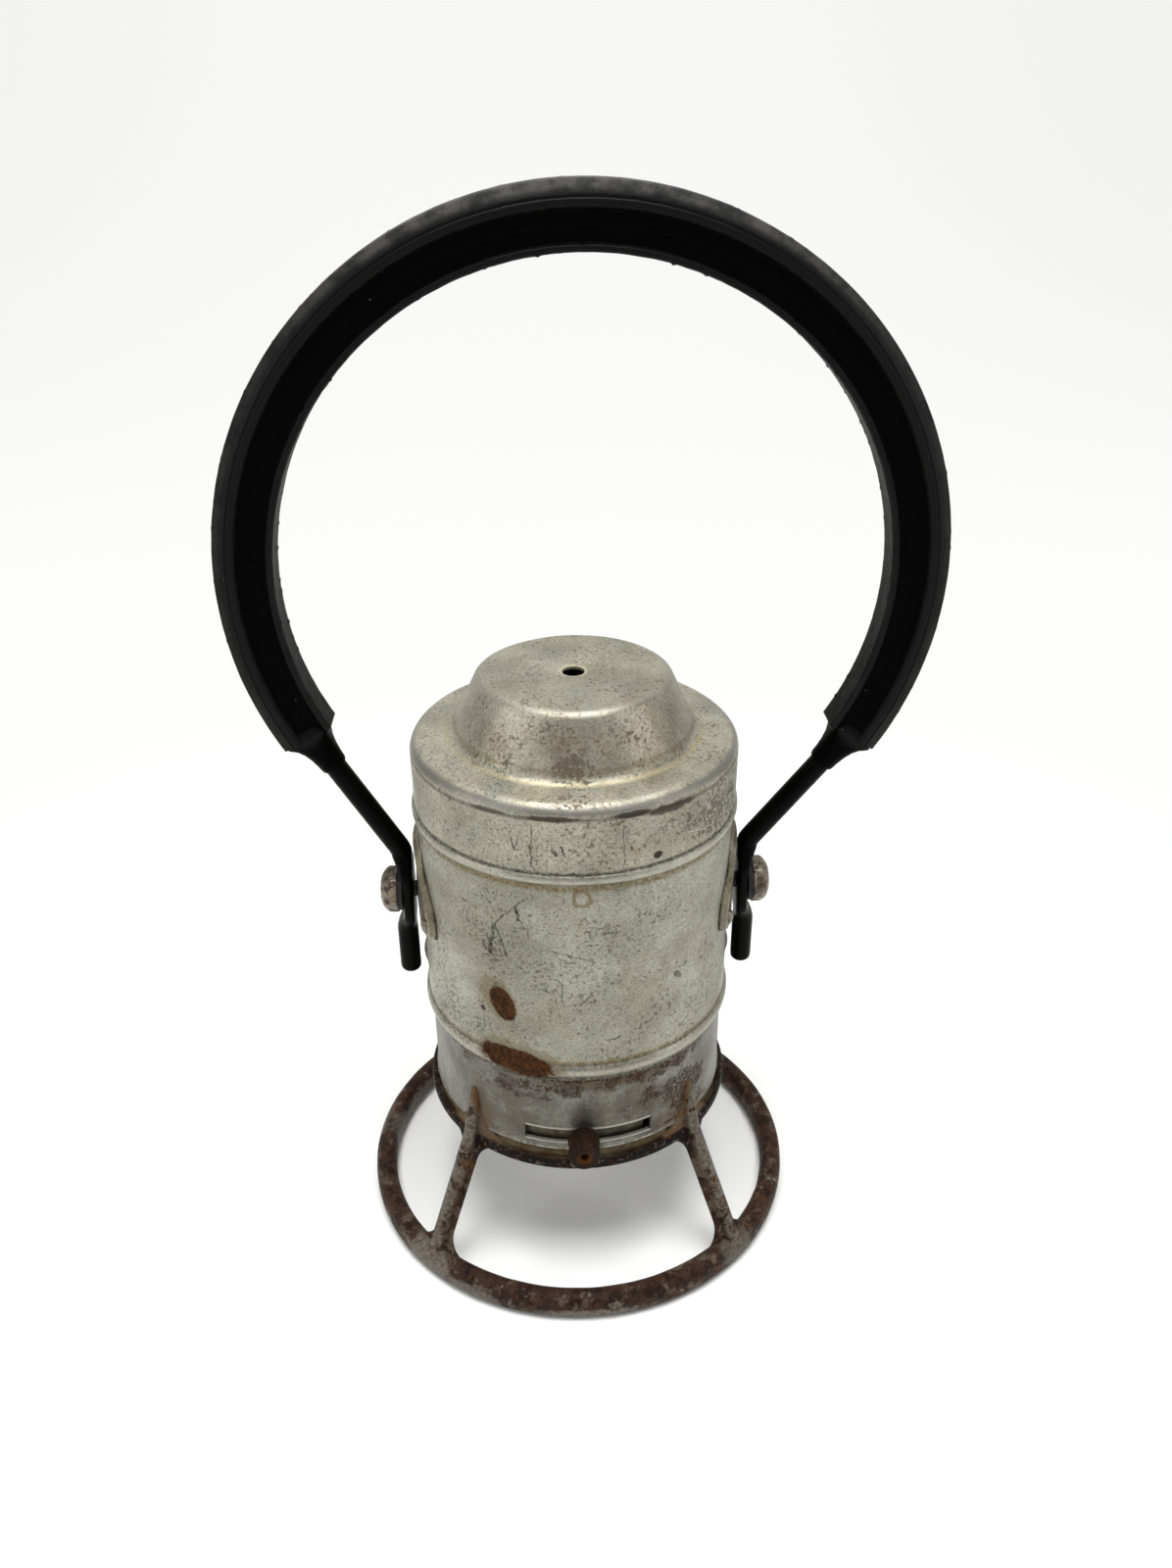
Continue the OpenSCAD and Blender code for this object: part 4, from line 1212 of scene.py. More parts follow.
@dataclass
class Base:
    """Ring, legs with their lip, and the collar that the can slips over."""

    ring_radius: float = 65.15
    ring_half: Point = (3.35, 4.35)
    ring_power: float = 2.5
    ring_points: int = 48
    ring_steps: int = 300
    ring_uneven: float = 0.3
    ring_waves: float = 110.0
    voxel: float = 0.35
    passes: int = 7
    collar: float = 45.2
    collar_wall: float = 1.2
    collar_top: float = 84
    lip_bottom: float = 40.2
    lip_out: float = 2.2
    lip_top: float = 43.8
    web_half: float = 3.3
    web_thick: float = 2.0
    web_foot: Point = (-0.7, 5.3)
    web_head: Point = (-1.3, 1.7)
    foot_flare: Point = (7.0, 9.5)
    head_flare: Point = (6.0, 6.8)
    sink: float = 0.7
    root_narrow: float = 1.6
    root_spread: float = 9.5
    ridge: float = 2.5
    ridge_top: float = 60.4
    slot_angles: Point = (-22.3, 26.4)
    slot_heights: Point = (49.6, 54.4)
    ledge: float = 46.9
    fold_steps: tuple[float, ...] = (0.4, 0.8, 1.2, 1.7, 2.3)

    def ring(self, material: bpy.types.Material) -> bpy.types.Object:
        """Sweep the bar's section into a ring, uneven as an old casting and flat where it stands."""
        count = self.ring_points
        section = superellipse(*self.ring_half, self.ring_power, count) * MM
        base = bpy.data.meshes.new("ring_section")
        edges = [(k, (k + 1) % count) for k in range(count)]
        base.from_pydata([(a, b, 0.0) for a, b in section], edges, [])
        tree = Tree("base ring")
        reach = tree.size("Ring radius", self.ring_radius * MM)
        lift = tree.size("Height", self.ring_half[1] * MM)
        uneven = tree.size("Unevenness", self.ring_uneven * MM)
        circle = tree.node("GeometryNodeCurvePrimitiveCircle", Radius=reach, Resolution=self.ring_steps)
        level = tree.node("GeometryNodeSetCurveNormal", Curve=circle.outputs[0])
        level.mode = "Z_UP"
        profile = tree.node("GeometryNodeMeshToCurve", Mesh=tree.start.outputs["Geometry"])
        bar = tree.node(
            "GeometryNodeCurveToMesh", Curve=level.outputs[0], Profile_Curve=profile.outputs[0]
        )
        waves = tree.node("ShaderNodeTexNoise", Scale=self.ring_waves, Detail=3.0)
        swell = tree.times(tree.minus(waves.outputs["Fac"], 0.5), uneven)
        normal = tree.node("GeometryNodeInputNormal")
        outwards = tree.add("ShaderNodeVectorMath", "SCALE", normal.outputs[0])
        tree.plug(outwards.inputs["Scale"], swell)
        worn = tree.node("GeometryNodeSetPosition", Geometry=bar.outputs[0], Offset=outwards.outputs[0])
        up = tree.node("ShaderNodeCombineXYZ", Z=lift)
        raised = tree.node("GeometryNodeTransform", Geometry=worn.outputs[0], Translation=up.outputs[0])
        made = tree.run("ring_bar", base, raised.outputs[0], material)
        for corner in made.data.vertices:
            corner.co.z = max(corner.co.z, 0.0)
        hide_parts("base_ring")
        return made

    def web(self, turn: float) -> Shape:
        """Lay one leg's flat web on the cone between the ring and the lip, flared at both ends.

        Args:
            turn: The leg's angle in radians.

        Returns:
            Points and faces.
        """
        foot = np.array([self.ring_radius, 0]) + self.web_foot
        head = np.array([self.collar + self.lip_out, self.lip_bottom]) + self.web_head
        length = float(np.linalg.norm(head - foot))
        way = (head - foot) / length
        t = self.web_thick / 2
        rings = []
        for v in np.linspace(0, length, 90):
            w = self.web_half + (fillet(self.foot_flare, v) + fillet(self.head_flare, length - v))
            half = arc((w - t, 0), t, -90, 90, 8)
            half += [(k, t) for k in np.linspace(w - t, t - w, 16)[1:-1]]
            r, z = foot + way * v
            ring = [
                polar(r + way[1] * off, turn + u / r, z - way[0] * off)
                for u, off in half + [(-a, -b) for a, b in half]
            ]
            rings.append(np.array(ring))
        return swept(rings)

    def leg(self, turn: float) -> Shape:
        """Sweep one leg's round ridge from the ring over the lip, and sink it into the collar."""
        foot = (self.ring_radius + 0.6, 6.0, 0)
        knee = (self.collar + self.lip_out + 0.5, self.lip_bottom + 2.2, 9)
        path = rounded([foot, knee, (self.collar - 0.6, self.ridge_top, 0)], 10)
        line = np.array(spaced(path, 0.8))
        ahead = np.gradient(line, axis=0)
        ahead /= np.linalg.norm(ahead, axis=1)[:, None]
        count = len(line)
        cos, sin = math.cos(turn), math.sin(turn)
        rings = []
        for k, ((r, z), way) in enumerate(zip(line, ahead)):
            taper = min(1.0, (count - 1 - k) / (count * 0.33))
            size = self.ridge * (0.42 + 0.58 * math.sqrt(max(0.0, taper)))
            size *= min(1.0, 0.5 + k * 0.2)
            ring = []
            for a in np.linspace(0, 2 * math.pi, 28, endpoint=False):
                across, off = size * math.cos(a), size * math.sin(a)
                radius = max(r + way[1] * off, self.collar - self.sink)
                ring.append((radius * cos - across * sin, radius * sin + across * cos, z - way[0] * off))
            rings.append(np.array(ring))
        return swept(rings)

    def gusset(self, turn: float) -> Shape:
        """Spread the leg's root over the collar, wide at the lip and gone at the ridge's top."""
        top = self.ridge_top - 2
        rings = []
        for z in np.linspace(self.lip_top - 2, top, 40):
            share = max(0.0, (z - self.lip_top) / (top - self.lip_top))
            w = self.root_narrow + self.root_spread * (1 - share) ** 3.2
            out = 0.5 + 0.9 * (1 - share) ** 2
            ring = []
            for u in np.linspace(-w, w, 25):
                bulge = out * (1 - (u / w) ** 2) ** 0.5 if abs(u) < w else 0.0
                ring.append(polar(self.collar + bulge, turn + u / self.collar, z))
            for u in np.linspace(w, -w, 25):
                ring.append(polar(self.collar - self.sink, turn + u / self.collar, z))
            rings.append(np.array(ring))
        return swept(rings)

    def guard(self) -> bpy.types.Object:
        """Blend the lip, the webs, the ridges and their roots as one casting."""
        c, b, top = self.collar, self.lip_bottom, self.lip_top
        edge = c + self.lip_out
        lip = [(c - self.sink, b), (edge - 1.1, b), *arc((edge - 1.1, b + 1.1), 1.1, -90, 0, 8)[1:]]
        lip += arc((edge - 0.9, top - 0.9), 0.9, 0, 150, 10)
        lip += [(c + 0.45, top - 0.95), (c + 0.1, top - 0.5), (c - self.sink, top - 0.5)]
        parts = [revolved(lip, 300)]
        for quarter in range(4):
            turn = math.radians(45 + 90 * quarter)
            parts += [self.web(turn), self.leg(turn), self.gusset(turn)]
        made = mesh_object("leg_guard_cast", *joined(parts))
        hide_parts("leg_guard")
        return cast(made, self.voxel, self.passes)

    def collar_mesh(self) -> bpy.types.Object:
        """Make the collar's sheet with its ledge and the folded edge round the switch slot."""
        first, last = self.slot_angles
        low, high = self.slot_heights
        beside = np.array(self.fold_steps)
        near = np.arange(0.25, 2, 0.25)
        angles = np.unique(np.round(np.concatenate([
            np.arange(-180, 180, 1.5), np.arange(first, last, 0.75), [first, last], first - beside,
            last + beside,
        ]), 3))
        heights = np.unique(np.round(np.concatenate([
            np.arange(self.lip_bottom, self.collar_top, 1.6), [self.collar_top, low, high],
            np.arange(44.4, 48.6, 0.25), low - near, high + near,
        ]), 3))
        middle = (high + low) / 2
        outer = np.zeros((len(heights), len(angles), 3))
        inner = outer.copy()
        for r, z in enumerate(heights):
            ledge = 0.4 * math.exp(-(((z - self.ledge) / 0.45) ** 2))
            ledge -= 0.45 * math.exp(-(((z - self.ledge + 1.2) / 0.6) ** 2))
            for c, angle in enumerate(angles):
                side = max(0.0, first - angle, angle - last) * math.radians(self.collar)
                above = max(0.0, abs(z - middle) - (high - low) / 2)
                fold = 0.42 * math.exp(-(((math.hypot(side, above) - 0.25) / 0.45) ** 2))
                a = math.radians(angle - 90)
                dent = 0.12 * noise.noise(Vector((math.cos(a) * 2.2, math.sin(a) * 2.2, z / 16)))
                out = self.collar + ledge + fold + dent
                outer[r, c] = polar(out, a, z)
                inner[r, c] = polar(out - self.collar_wall, a, z)
        in_height = (heights + 0.01 >= low) & (heights + 0.01 < high)
        in_angle = (angles + 0.01 >= first) & (angles + 0.01 < last)
        keep = ~np.outer(in_height, in_angle)
        made = mesh_object("base_collar_sheet", *stitched(outer, inner, keep), 40)
        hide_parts("base_collar")
        return made

    def build(self) -> None:
        """Build and dress the base."""
        iron = WornIron(
            "ring_iron", bare=0.15, dirt=0.55, radius=self.ring_radius,
            spots=(
                *ovals(
                    Mark.DARK, (-52, 6, 9, 5, 1.6, 0, 0.95, 0.25),
                    (-36, 3, 9, 3, 1.6, 0, 0.8, 0.25), (50, 6, 7, 4, 1.6, 0, 0.6, 0.3),
                    (-112, 5, 7, 4, 1.6, 0, 0.75, 0.3), (-132, 4, 16, 3, 1.7, 0, 0.6, 0.3),
                    (0, 2.4, 15, 2.2, 1.3, 0, 0.95, 0.25),
                ),
            ),
        ).make()
        place(self.ring(iron), Body.HOUSING, iron)
        guard = WornIron(
            "guard_iron", brown=hue("2f2118"), dark=hue("110a07"), bare=0.1, dirt=0.75, crest=1.0,
            lip=(self.collar + self.lip_out - 0.4, self.lip_top + 0.1),
        ).make()
        place(self.guard(), Body.HOUSING, guard)
        first, last = (math.radians(v) * self.collar for v in self.slot_angles)
        low, high = self.slot_heights
        collar = Plated(
            "collar_steel", radius=self.collar,
            slot=((first + last) / 2, (last - first) / 2, (low + high) / 2, (high - low) / 2),
            foot=(self.ledge - 0.7, self.ledge + 0.1),
            spots=(
                *ovals(
                    Mark.DARK, (12, 71, 30, 3, 1.2, 0, 1.0, 0.5),
                    (-18, 67, 13, 3.4, 1.4, 0, 1.0, 0.6), (25, 61, 13, 8, 1.2, 0, 0.8, 0.8),
                    (37, 55, 9, 10, 0.5, 0, 1.0, 0.7), (-38, 70, 6, 4, 0.5, 0, 0.7, 0.8),
                    (2, 60, 6, 3, 0.5, 0, 0.45, 0.9),
                ),
            ),
            stains=(
                *ovals(
                    Mark.DARK, (9, 71.6, 17, 1.6, 1.2, 0, 1.0, 0.5),
                    (33, 50, 8, 4, 1.0, 0, 1.0, 0.6), (-31, 52, 3, 6, 1.0, 0, 1.0, 0.6),
                ),
            ),
            bands=(Band(73.6, 1.6, strength=0.9), Band(48.6, 0.8, strength=0.5)),
        ).make()
        place(self.collar_mesh(), Body.HOUSING, collar)


@dataclass
class Can:
    """Battery can with its beads and pressed bumps, and the ears riveted to it."""

    radius: float = 46
    wall: float = 0.8
    bottom: float = 74
    low_bead: tuple[float, float, float] = (75, 4.2, 1.0)
    top_bead: tuple[float, float, float] = (140.5, 3.4, 1.3)
    neck: float = 45.4
    top: float = 158
    bump_height: float = 89
    bump_width: float = 9
    bump_out: float = 1.2
    ear_middle: float = 112
    ear_bulge: float = 0.9
    ear_spread: Point = (15, 13)
    ear_foot: float = 0.74
    rivet_head: float = 2.2
    rivet_flat: float = 0.5
    turns: int = 320

    def bead(self, sizes: tuple[float, float, float]) -> list[Point]:
        """Give the arc of a rolled bead from its height, its width and how far it stands out."""
        height, width, out = sizes
        big = ((width / 2) ** 2 + out**2) / (2 * out)
        half = math.degrees(math.asin(width / 2 / big))
        return arc((self.radius + out - big, height + width / 2), big, -half, half, 10)

    def wall_mesh(self) -> bpy.types.Object:
        """Revolve the can's wall and press the bumps out of it."""
        path = [(self.radius, self.bottom), *self.bead(self.low_bead), *self.bead(self.top_bead)]
        path += [(self.neck, self.top_bead[0] + self.top_bead[1]), (self.neck, self.top)]
        points, faces = revolved(walled(spaced(path, 1.4), self.wall), self.turns)
        ball = ((self.bump_width / 2) ** 2 + self.bump_out**2) / (2 * self.bump_out)
        wave = waviness(28, 0.16, 4)

        def shape(p: np.ndarray) -> np.ndarray:
            away = math.hypot(p[1], p[2] - self.bump_height)
            push = max(0.0, math.sqrt(max(0.0, ball**2 - away**2)) - (ball - self.bump_out))
            return np.array([math.copysign(push, p[0]), 0, 0]) + wave(p)

        made = mesh_object("battery_can_wall", moved(points, shape), faces)
        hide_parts("battery_can")
        return made

    def finish(self) -> bpy.types.Material:
        """Give the can its marks, with painted light and shade at its beads and bumps."""
        return TinPlate(
            "can_tin",
            spots=(
                *ovals(
                    Mark.RUST, (-23.1, 98.1, 3.8, 5.9, 0.5, 20), (-19.5, 78.6, 11.5, 4.4, 0.7, -8),
                ),
                *ovals(
                    Mark.STAIN, (-24.6, 99.4, 5.6, 7.6, 0.7, 25, 0.5),
                    (-19, 79.2, 14, 6.2, 0.8, -8, 0.5),
                ),
                *ovals(
                    Mark.DARK, (29.3, 103.8, 0.9, 1.9, 1.2, 40, 0.6),
                    (22.8, 99.5, 4, 3, 1.4, 0, 0.5, 0.8), (19.6, 127.9, 4.4, 2.4, 1.6, 0, 0.7, 0.8),
                    (4.8, 126.3, 5, 4, 1.8, 0, 0.45, 0.8), (-29.9, 94.0, 0.9, 0.9, 1.0, 0, 0.9),
                    (-26.5, 117.5, 4.6, 6.5, 1.6, 8, 0.9, 0.8), (-3, 108, 12, 9, 1.9, 0, 0.25, 0.8),
                ),
                Spot((0.2, 136.1), (2.8, 2.8), Mark.STAIN, 1.3, 0, 0.75, hollow=True),
                # Soft dark spots in front of the pressed bumps: painted shade, crowding the speckle there.
                *[Spot((x, 88.5), (3.4, 6.5), Mark.DARK, 1.2, 0, 1.0, 0.6) for x in (-65, 65)],
                *[Spot((x, 136), (9, 1.6), Mark.DARK, 1.5, 0, 0.7, 0.5) for x in (56, -56)],
                *ovals(
                    Mark.DARK, (-44, 88, 14, 12, 1.5, 0, 0.3, 0.8),
                    (46, 92, 12, 14, 1.5, 0, 0.3, 0.8),
                ),
            ),
            scratches=(
                *lines(
                    Mark.DARK, (-15.3, 135, -24.6, 125, 0.35), (-17.9, 131.6, -17.2, 128, 0.8),
                    (-24.6, 125, -26.4, 114.5, 1.1), (-24.3, 124.7, -21.1, 115.3, 0.6),
                    (-8.9, 119.7, 2.9, 115.9, 0.45, 0.8), (7, 87.8, 11, 88.7, 0.4),
                    (-5.6, 108.8, -5.5, 100.7, 0.35, 0.7), (-14.8, 127, -14.4, 122.5, 0.3, 0.6),
                ),
                *lines(Mark.BRIGHT, (12, 112, 27, 118, 0.25, 0.4)),
                *[
                    Scratch((side * a, b), (side * c, d), 0.8, strength=share)
                    for side in (-1, 1)
                    for a, b, c, d, share in ((50.1, 103.2, 50.1, 115, 0.5), (50.1, 115, 60.5, 131.6, 0.6))
                ],
            ),
            # The bands at 139.4 and 140.4, under the top bead, paint its shadow along with the stain
            # there.
            bands=(
                Band(139.4, 1.6, Mark.STAIN, 1.0, 0.25), Band(74.5, 0.9, Mark.DARK, 1.0, 0.05),
                Band(80.0, 1.3, Mark.STAIN, 1.0, 0.1), Band(143.8, 0.5, Mark.DARK, 0.9, 0.1),
                Band(79.4, 0.45, Mark.DARK, 0.7, 0.3), Band(140.4, 0.4, Mark.DARK, 0.7, 0.4),
            ),
            # The light rims on both beads are burnished edges with a painted highlight along each bead.
            rims=(
                Rim(47.0, 142.2, 1.1, hue("b9b6a8"), 0.4, 0.4),
                Rim(46.8, 77.0, 1.6, hue("b1aea1"), 0.4, 0.4),
            ),
        ).make()

    def puff(self, ear: bpy.types.Object) -> None:
        """Bulge an ear out round its pivot and draw its feet up, as pressed sheet comes out."""
        for corner in ear.data.vertices:
            x, y, z = (v / MM for v in corner.co)
            if z < self.ear_middle:
                z = self.ear_middle - (self.ear_middle - z) * self.ear_foot
            up = (z - self.ear_middle) / self.ear_spread[1]
            bulge = self.ear_bulge * math.exp(-((y / self.ear_spread[0]) ** 2) - up**2)
            corner.co = (x * MM + math.copysign(bulge * MM, x), y * MM, z * MM)
        smooth(ear.data, 40)

    def rivets(self, material: bpy.types.Material) -> bpy.types.Object:
        """Set the rivets' domed heads on the ears, from the places of the plain ones."""
        plain = merged("ear_rivets")
        heads = []
        seen = set()
        for first in plain.verts:
            if first in seen:
                continue
            seen.add(first)
            group = [first]
            for at in group:
                for edge in at.link_edges:
                    other = edge.other_vert(at)
                    if other not in seen:
                        seen.add(other)
                        group.append(other)
            places = np.array([v.co for v in group])
            reach = np.abs(places[:, 0])
            heads.append(tuple(places[reach > reach.max() - 0.5 * MM].mean(axis=0)))
        plain.free()
        seats = bpy.data.meshes.new("rivet_seats")
        seats.from_pydata(heads, [], [])
        tree = Tree("rivet heads")
        radius = tree.size("Head radius", self.rivet_head * MM)
        flat = tree.size("Head height", self.rivet_flat)
        dome = tree.node("GeometryNodeMeshUVSphere", Segments=24, Rings=14, Radius=radius)
        squash = tree.node("ShaderNodeCombineXYZ", X=1.0, Y=1.0, Z=flat)
        low = tree.node("GeometryNodeTransform", Geometry=dome.outputs[0], Scale=squash.outputs[0])
        here = tree.node("GeometryNodeInputPosition")
        level = tree.add("ShaderNodeVectorMath", "MULTIPLY", here.outputs[0], (1, 1, 0))
        facing = tree.node("FunctionNodeAlignEulerToVector", Vector=level.outputs[0])
        facing.axis = "Z"
        points = tree.node("GeometryNodeMeshToPoints", Mesh=tree.start.outputs["Geometry"])
        copies = tree.node(
            "GeometryNodeInstanceOnPoints", Points=points.outputs[0], Instance=low.outputs[0],
            Rotation=facing.outputs[0],
        )
        made = tree.run("rivet_heads", seats, copies.outputs[0], material)
        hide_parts("ear_rivets")
        return made

    def build(self) -> None:
        """Build and dress the can, its ears and their rivets."""
        tin = self.finish()
        place(self.wall_mesh(), Body.HOUSING, tin)
        # The ears' tin is a darker copy of the can's, painting shade on the edge-on ears, with denser
        # speckle.
        ear = TinPlate("ear_tin", light=hue("8f8772"), shade=hue("5f5845"), speckle=0.9).make()
        for node in ("ear_left", "ear_right"):
            piece = copied(node, node + "_skin", 40)
            self.puff(piece)
            place(piece, Body.HOUSING, ear)
        rivet = PlainMetal("rivet_steel", hue("8c8577"), hue("6a6152"), pits=0.6, size=2).make()
        place(self.rivets(rivet), Body.HOUSING, rivet)


@dataclass
class Cap:
    """Hat-shaped cap that lifts off the can."""

    radius: float = 46.5
    bottom: float = 144
    shoulder: tuple[float, float, float] = (46.5, 163.6, 4)
    root: tuple[float, float, float] = (35, 164.5, 4)
    crown: tuple[float, float, float] = (26.9, 181.4, 3.5)
    vent: float = 3.25
    vent_edge: float = 2.2
    vent_dip: float = 0.35
    dent_size: float = 16
    dent_depth: float = 0.28
    wall: float = 0.8
    turns: int = 320

    def mesh(self) -> bpy.types.Object:
        """Revolve the cap's sheet, with a slightly uneven crown and a dented shoulder."""
        vent = (self.vent, self.crown[1], 0)
        path = rounded([(self.radius, self.bottom, 0), self.shoulder, self.root, self.crown, vent], 12)
        points, faces = revolved(walled(spaced(path, 1.3), self.wall), self.turns)
        wave = waviness(24, 0.22, 9)

        def shape(p: np.ndarray) -> np.ndarray:
            radius = math.hypot(p[0], p[1])
            push = wave(p)
            level = noise.noise(Vector((p[0] / self.dent_size, p[1] / self.dent_size, 3.7)))
            push[2] += self.dent_depth * level if p[2] > self.shoulder[1] - 3 else 0
            if radius < self.vent + self.vent_edge and p[2] > self.crown[1] - 2:
                push[2] -= self.vent_dip * (1 - (radius - self.vent) / self.vent_edge)
            return push

        made = mesh_object("cap_sheet", moved(points, shape), faces)
        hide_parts("cap")
        return made

    def finish(self) -> bpy.types.Material:
        """Give the cap burnished edges, painted highlights, a stained crown root and old marks."""
        return TinPlate(
            "cap_tin", light=hue("b5b1a0"), shade=hue("8f8a79"), radius=46.5, speckle=0.72, grain=0.55,
            crowd=0.15,
            spots=(
                *ovals(
                    Mark.DARK, (-7, 160.6, 8, 0.7, 1.3, 0, 0.9, 0.28),
                    (13.5, 160.6, 6, 0.8, 1.3, 0, 0.95, 0.28),
                    (25, 159.9, 7, 1.3, 1.5, 0, 0.85, 0.28),
                    (-25, 160.6, 6, 0.6, 1.4, 0, 0.7, 0.28), (21.2, 146.7, 1.4, 1.1, 0.9),
                    (-2, 168, 8, 4, 1.5, 0, 1.0, 0.6), (-9, 175, 7, 3.5, 1.9, 0, 0.5, 0.7),
                    (22, 175, 12, 4, 1.9, 0, 0.45, 0.8), (-38, 167, 7, 4, 1.9, 0, 0.45, 0.8),
                    (48, 152, 14, 9, 1.7, 0, 0.8, 0.8), (-28, 166, 5, 3, 1.8, 0, 0.5, 0.7),
                ),
            ),
            scratches=(
                *lines(
                    Mark.DARK, (-18.7, 154.3, -17.8, 150, 0.35), (-17.6, 150.2, -16.5, 154.7, 0.3),
                    (-13.2, 151.9, -13.2, 151.4, 0.8), (-7.5, 151.4, -6.3, 150, 0.8),
                    (-5.2, 152.4, -4.3, 149.5, 0.55), (-12.7, 158.5, -13.1, 145.8, 0.25),
                    (11.2, 157.4, 11.3, 145.8, 0.25),
                ),
                *lines(Mark.BRIGHT, (30, 150, 41, 148, 0.3, 0.5)),
            ),
            bands=(
                Band(167.2, 1.2, Mark.STAIN, 0.6, 0.6), Band(144.3, 0.5, Mark.DARK, 0.8, 0.2),
                Band(172.5, 6, Mark.STAIN, 0.35, 0.8),
            ),
            # Rims: burnished edges, a dark line, painted highlights at the stained root and vent.
            rims=(
                Rim(45.4, 162.2, 1.6, hue("7b7872"), 0.85, 0.46),
                Rim(46.5, 160.2, 0.8, hue("4d463a"), 0.6, 0.55),
                Rim(26.2, 180.5, 1.2, hue("8f8c80"), 0.6, 0.44),
                Rim(36.3, 165.3, 1.3, hue("a3976f"), 0.6, 0.48),
                Rim(3.4, 181.2, 0.9, hue("c8c0a0"), 0.6, 0.42),
            ),
        ).make()

    def build(self) -> None:
        """Build and dress the cap."""
        place(self.mesh(), Body.CAP, self.finish())


@dataclass
class Bail:
    """Bent rod with flattened eyes, and its rubber grip."""

    half_width: float = 51.6
    rod: float = 6.35
    end: float = 81.4
    bend: float = 125.2
    eye_x: float = 50.2
    eye_half_thick: float = 1.7
    eye_half_width: float = 6.5
    bow_radius: float = 89.2
    bow_height: float = 207.9
    bow_set: float = 3.4
    grip_angle: float = 120.9
    grip_turn: float = -1.4
    grip_steps: int = 460
    reach_out: float = 7.8
    reach_in: float = 7.9
    centre: Point = field(init=False)
    ends: Point = field(init=False)

    def __post_init__(self) -> None:
        """Work out the bow's middle and the angles of the grip's ends."""
        self.centre = (self.bow_set, self.bow_height)
        self.ends = (90 + self.grip_turn - self.grip_angle, 90 + self.grip_turn + self.grip_angle)

    def on_bow(self, angle: float) -> np.ndarray:
        """Give a point of the bow's middle line at an angle in degrees."""
        a = math.radians(angle)
        return np.array(self.centre) + self.bow_radius * np.array([math.cos(a), math.sin(a)])

    def stub(self, side: int) -> tuple[np.ndarray, np.ndarray]:
        """Give the middle line and half sizes from the rod's end to its bend.

        Args:
            side: 1 for the right and -1 for the left.

        Returns:
            Points of the middle line, and half thickness with half width at each.
        """
        r, x, eye = self.rod / 2, self.half_width, self.eye_x
        t, w = self.eye_half_thick, self.eye_half_width
        stations = np.array([
            (self.end, x, r * 0.55, r * 0.55), (self.end + 0.5, x, r * 0.85, r * 0.85),
            (self.end + 1.4, x, r, r), (97.6, x, r, r), (99.6, x - 0.2, r * 0.9, r * 1.15),
            (102.4, eye + 0.2, t * 1.15, w * 0.88), (105, eye, t, w), (117.6, eye, t, w),
            (120.4, eye + 0.3, t * 1.3, w * 0.86), (123.2, x - 0.1, r * 0.95, r * 1.1),
            (self.bend, x, r, r),
        ])
        heights = np.arange(self.end, self.bend + 0.01, 0.4)
        columns = [np.interp(heights, stations[:, 0], stations[:, k]) for k in (1, 2, 3)]
        values = np.stack(columns, axis=1)
        kernel = np.ones(5) / 5
        for k in range(3):
            padded = np.pad(values[:, k], 2, mode="edge")
            eased = np.convolve(padded, kernel, "valid")
            values[4:, k] = eased[4:]
        line = np.stack([side * values[:, 0], heights], axis=1)
        return line, values[:, 1:]

    def rod_mesh(self) -> bpy.types.Object:
        """Sweep the whole rod from one end over the bow to the other."""
        right, right_half = self.stub(1)
        left, left_half = self.stub(-1)
        top_right = self.on_bow(self.ends[0])
        top_left = self.on_bow(self.ends[1])

        def run(a: np.ndarray, b: np.ndarray, step: float) -> np.ndarray:
            count = max(2, int(np.linalg.norm(b - a) / step))
            return np.array([a + (b - a) * k / count for k in range(1, count)])

        bow = np.array([self.on_bow(a) for a in np.arange(self.ends[0], self.ends[1] + 0.01, 1.0)])
        line = np.vstack([
            right, run(right[-1], top_right, 1.0), bow, run(top_left, left[-1], 1.0), left[::-1]
        ])
        round_half = np.full((len(line) - len(right) - len(left), 2), self.rod / 2)
        half = np.vstack([right_half, round_half, left_half[::-1]])
        eased = line.copy()
        for _ in range(3):
            eased[1:-1] = 0.25 * eased[:-2] + 0.5 * eased[1:-1] + 0.25 * eased[2:]
        eased[: len(right) - 12] = line[: len(right) - 12]
        eased[len(line) - len(left) + 12 :] = line[len(line) - len(left) + 12 :]
        ahead = np.gradient(eased, axis=0)
        ahead /= np.linalg.norm(ahead, axis=1)[:, None]
        rings = []
        for at, way, (thick, wide) in zip(eased, ahead, half):
            flat = min(1.0, max(0.0, (wide - thick) / 4))
            rings.append(crossed(at, way, superellipse(thick, wide, 2 + 2.4 * flat, 32)))
        made = mesh_object("bail_bar", *swept(rings), 50)
        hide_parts("bail_rod")
        return made

    def half_section(self) -> list[tuple[float, float, float]]:
        """Give the grip's front half as reach from the rod, depth and corner radius, walked inwards."""
        out, inner = self.reach_out, -self.reach_in
        return [
            (out, 0, 0), (out, 3.6, 0.8), (out - 3.5, 5.5, 0.5), (out - 3.85, 5.1, 0.2),
            (out - 4.1, 5.7, 0.3), (out - 5.7, 5.9, 0.6), (out - 6.5, 4.3, 0.6), (-2.3, 4.3, 0),
            (-2.5, 4.15, 0), (-2.7, 4.3, 0), (inner + 2.2, 4.3, 0.5), (inner + 1.6, 5.2, 0.4),
            (inner + 0.3, 5.3, 0.5), (inner, 4.4, 0.5), (inner, 0, 0),
        ]

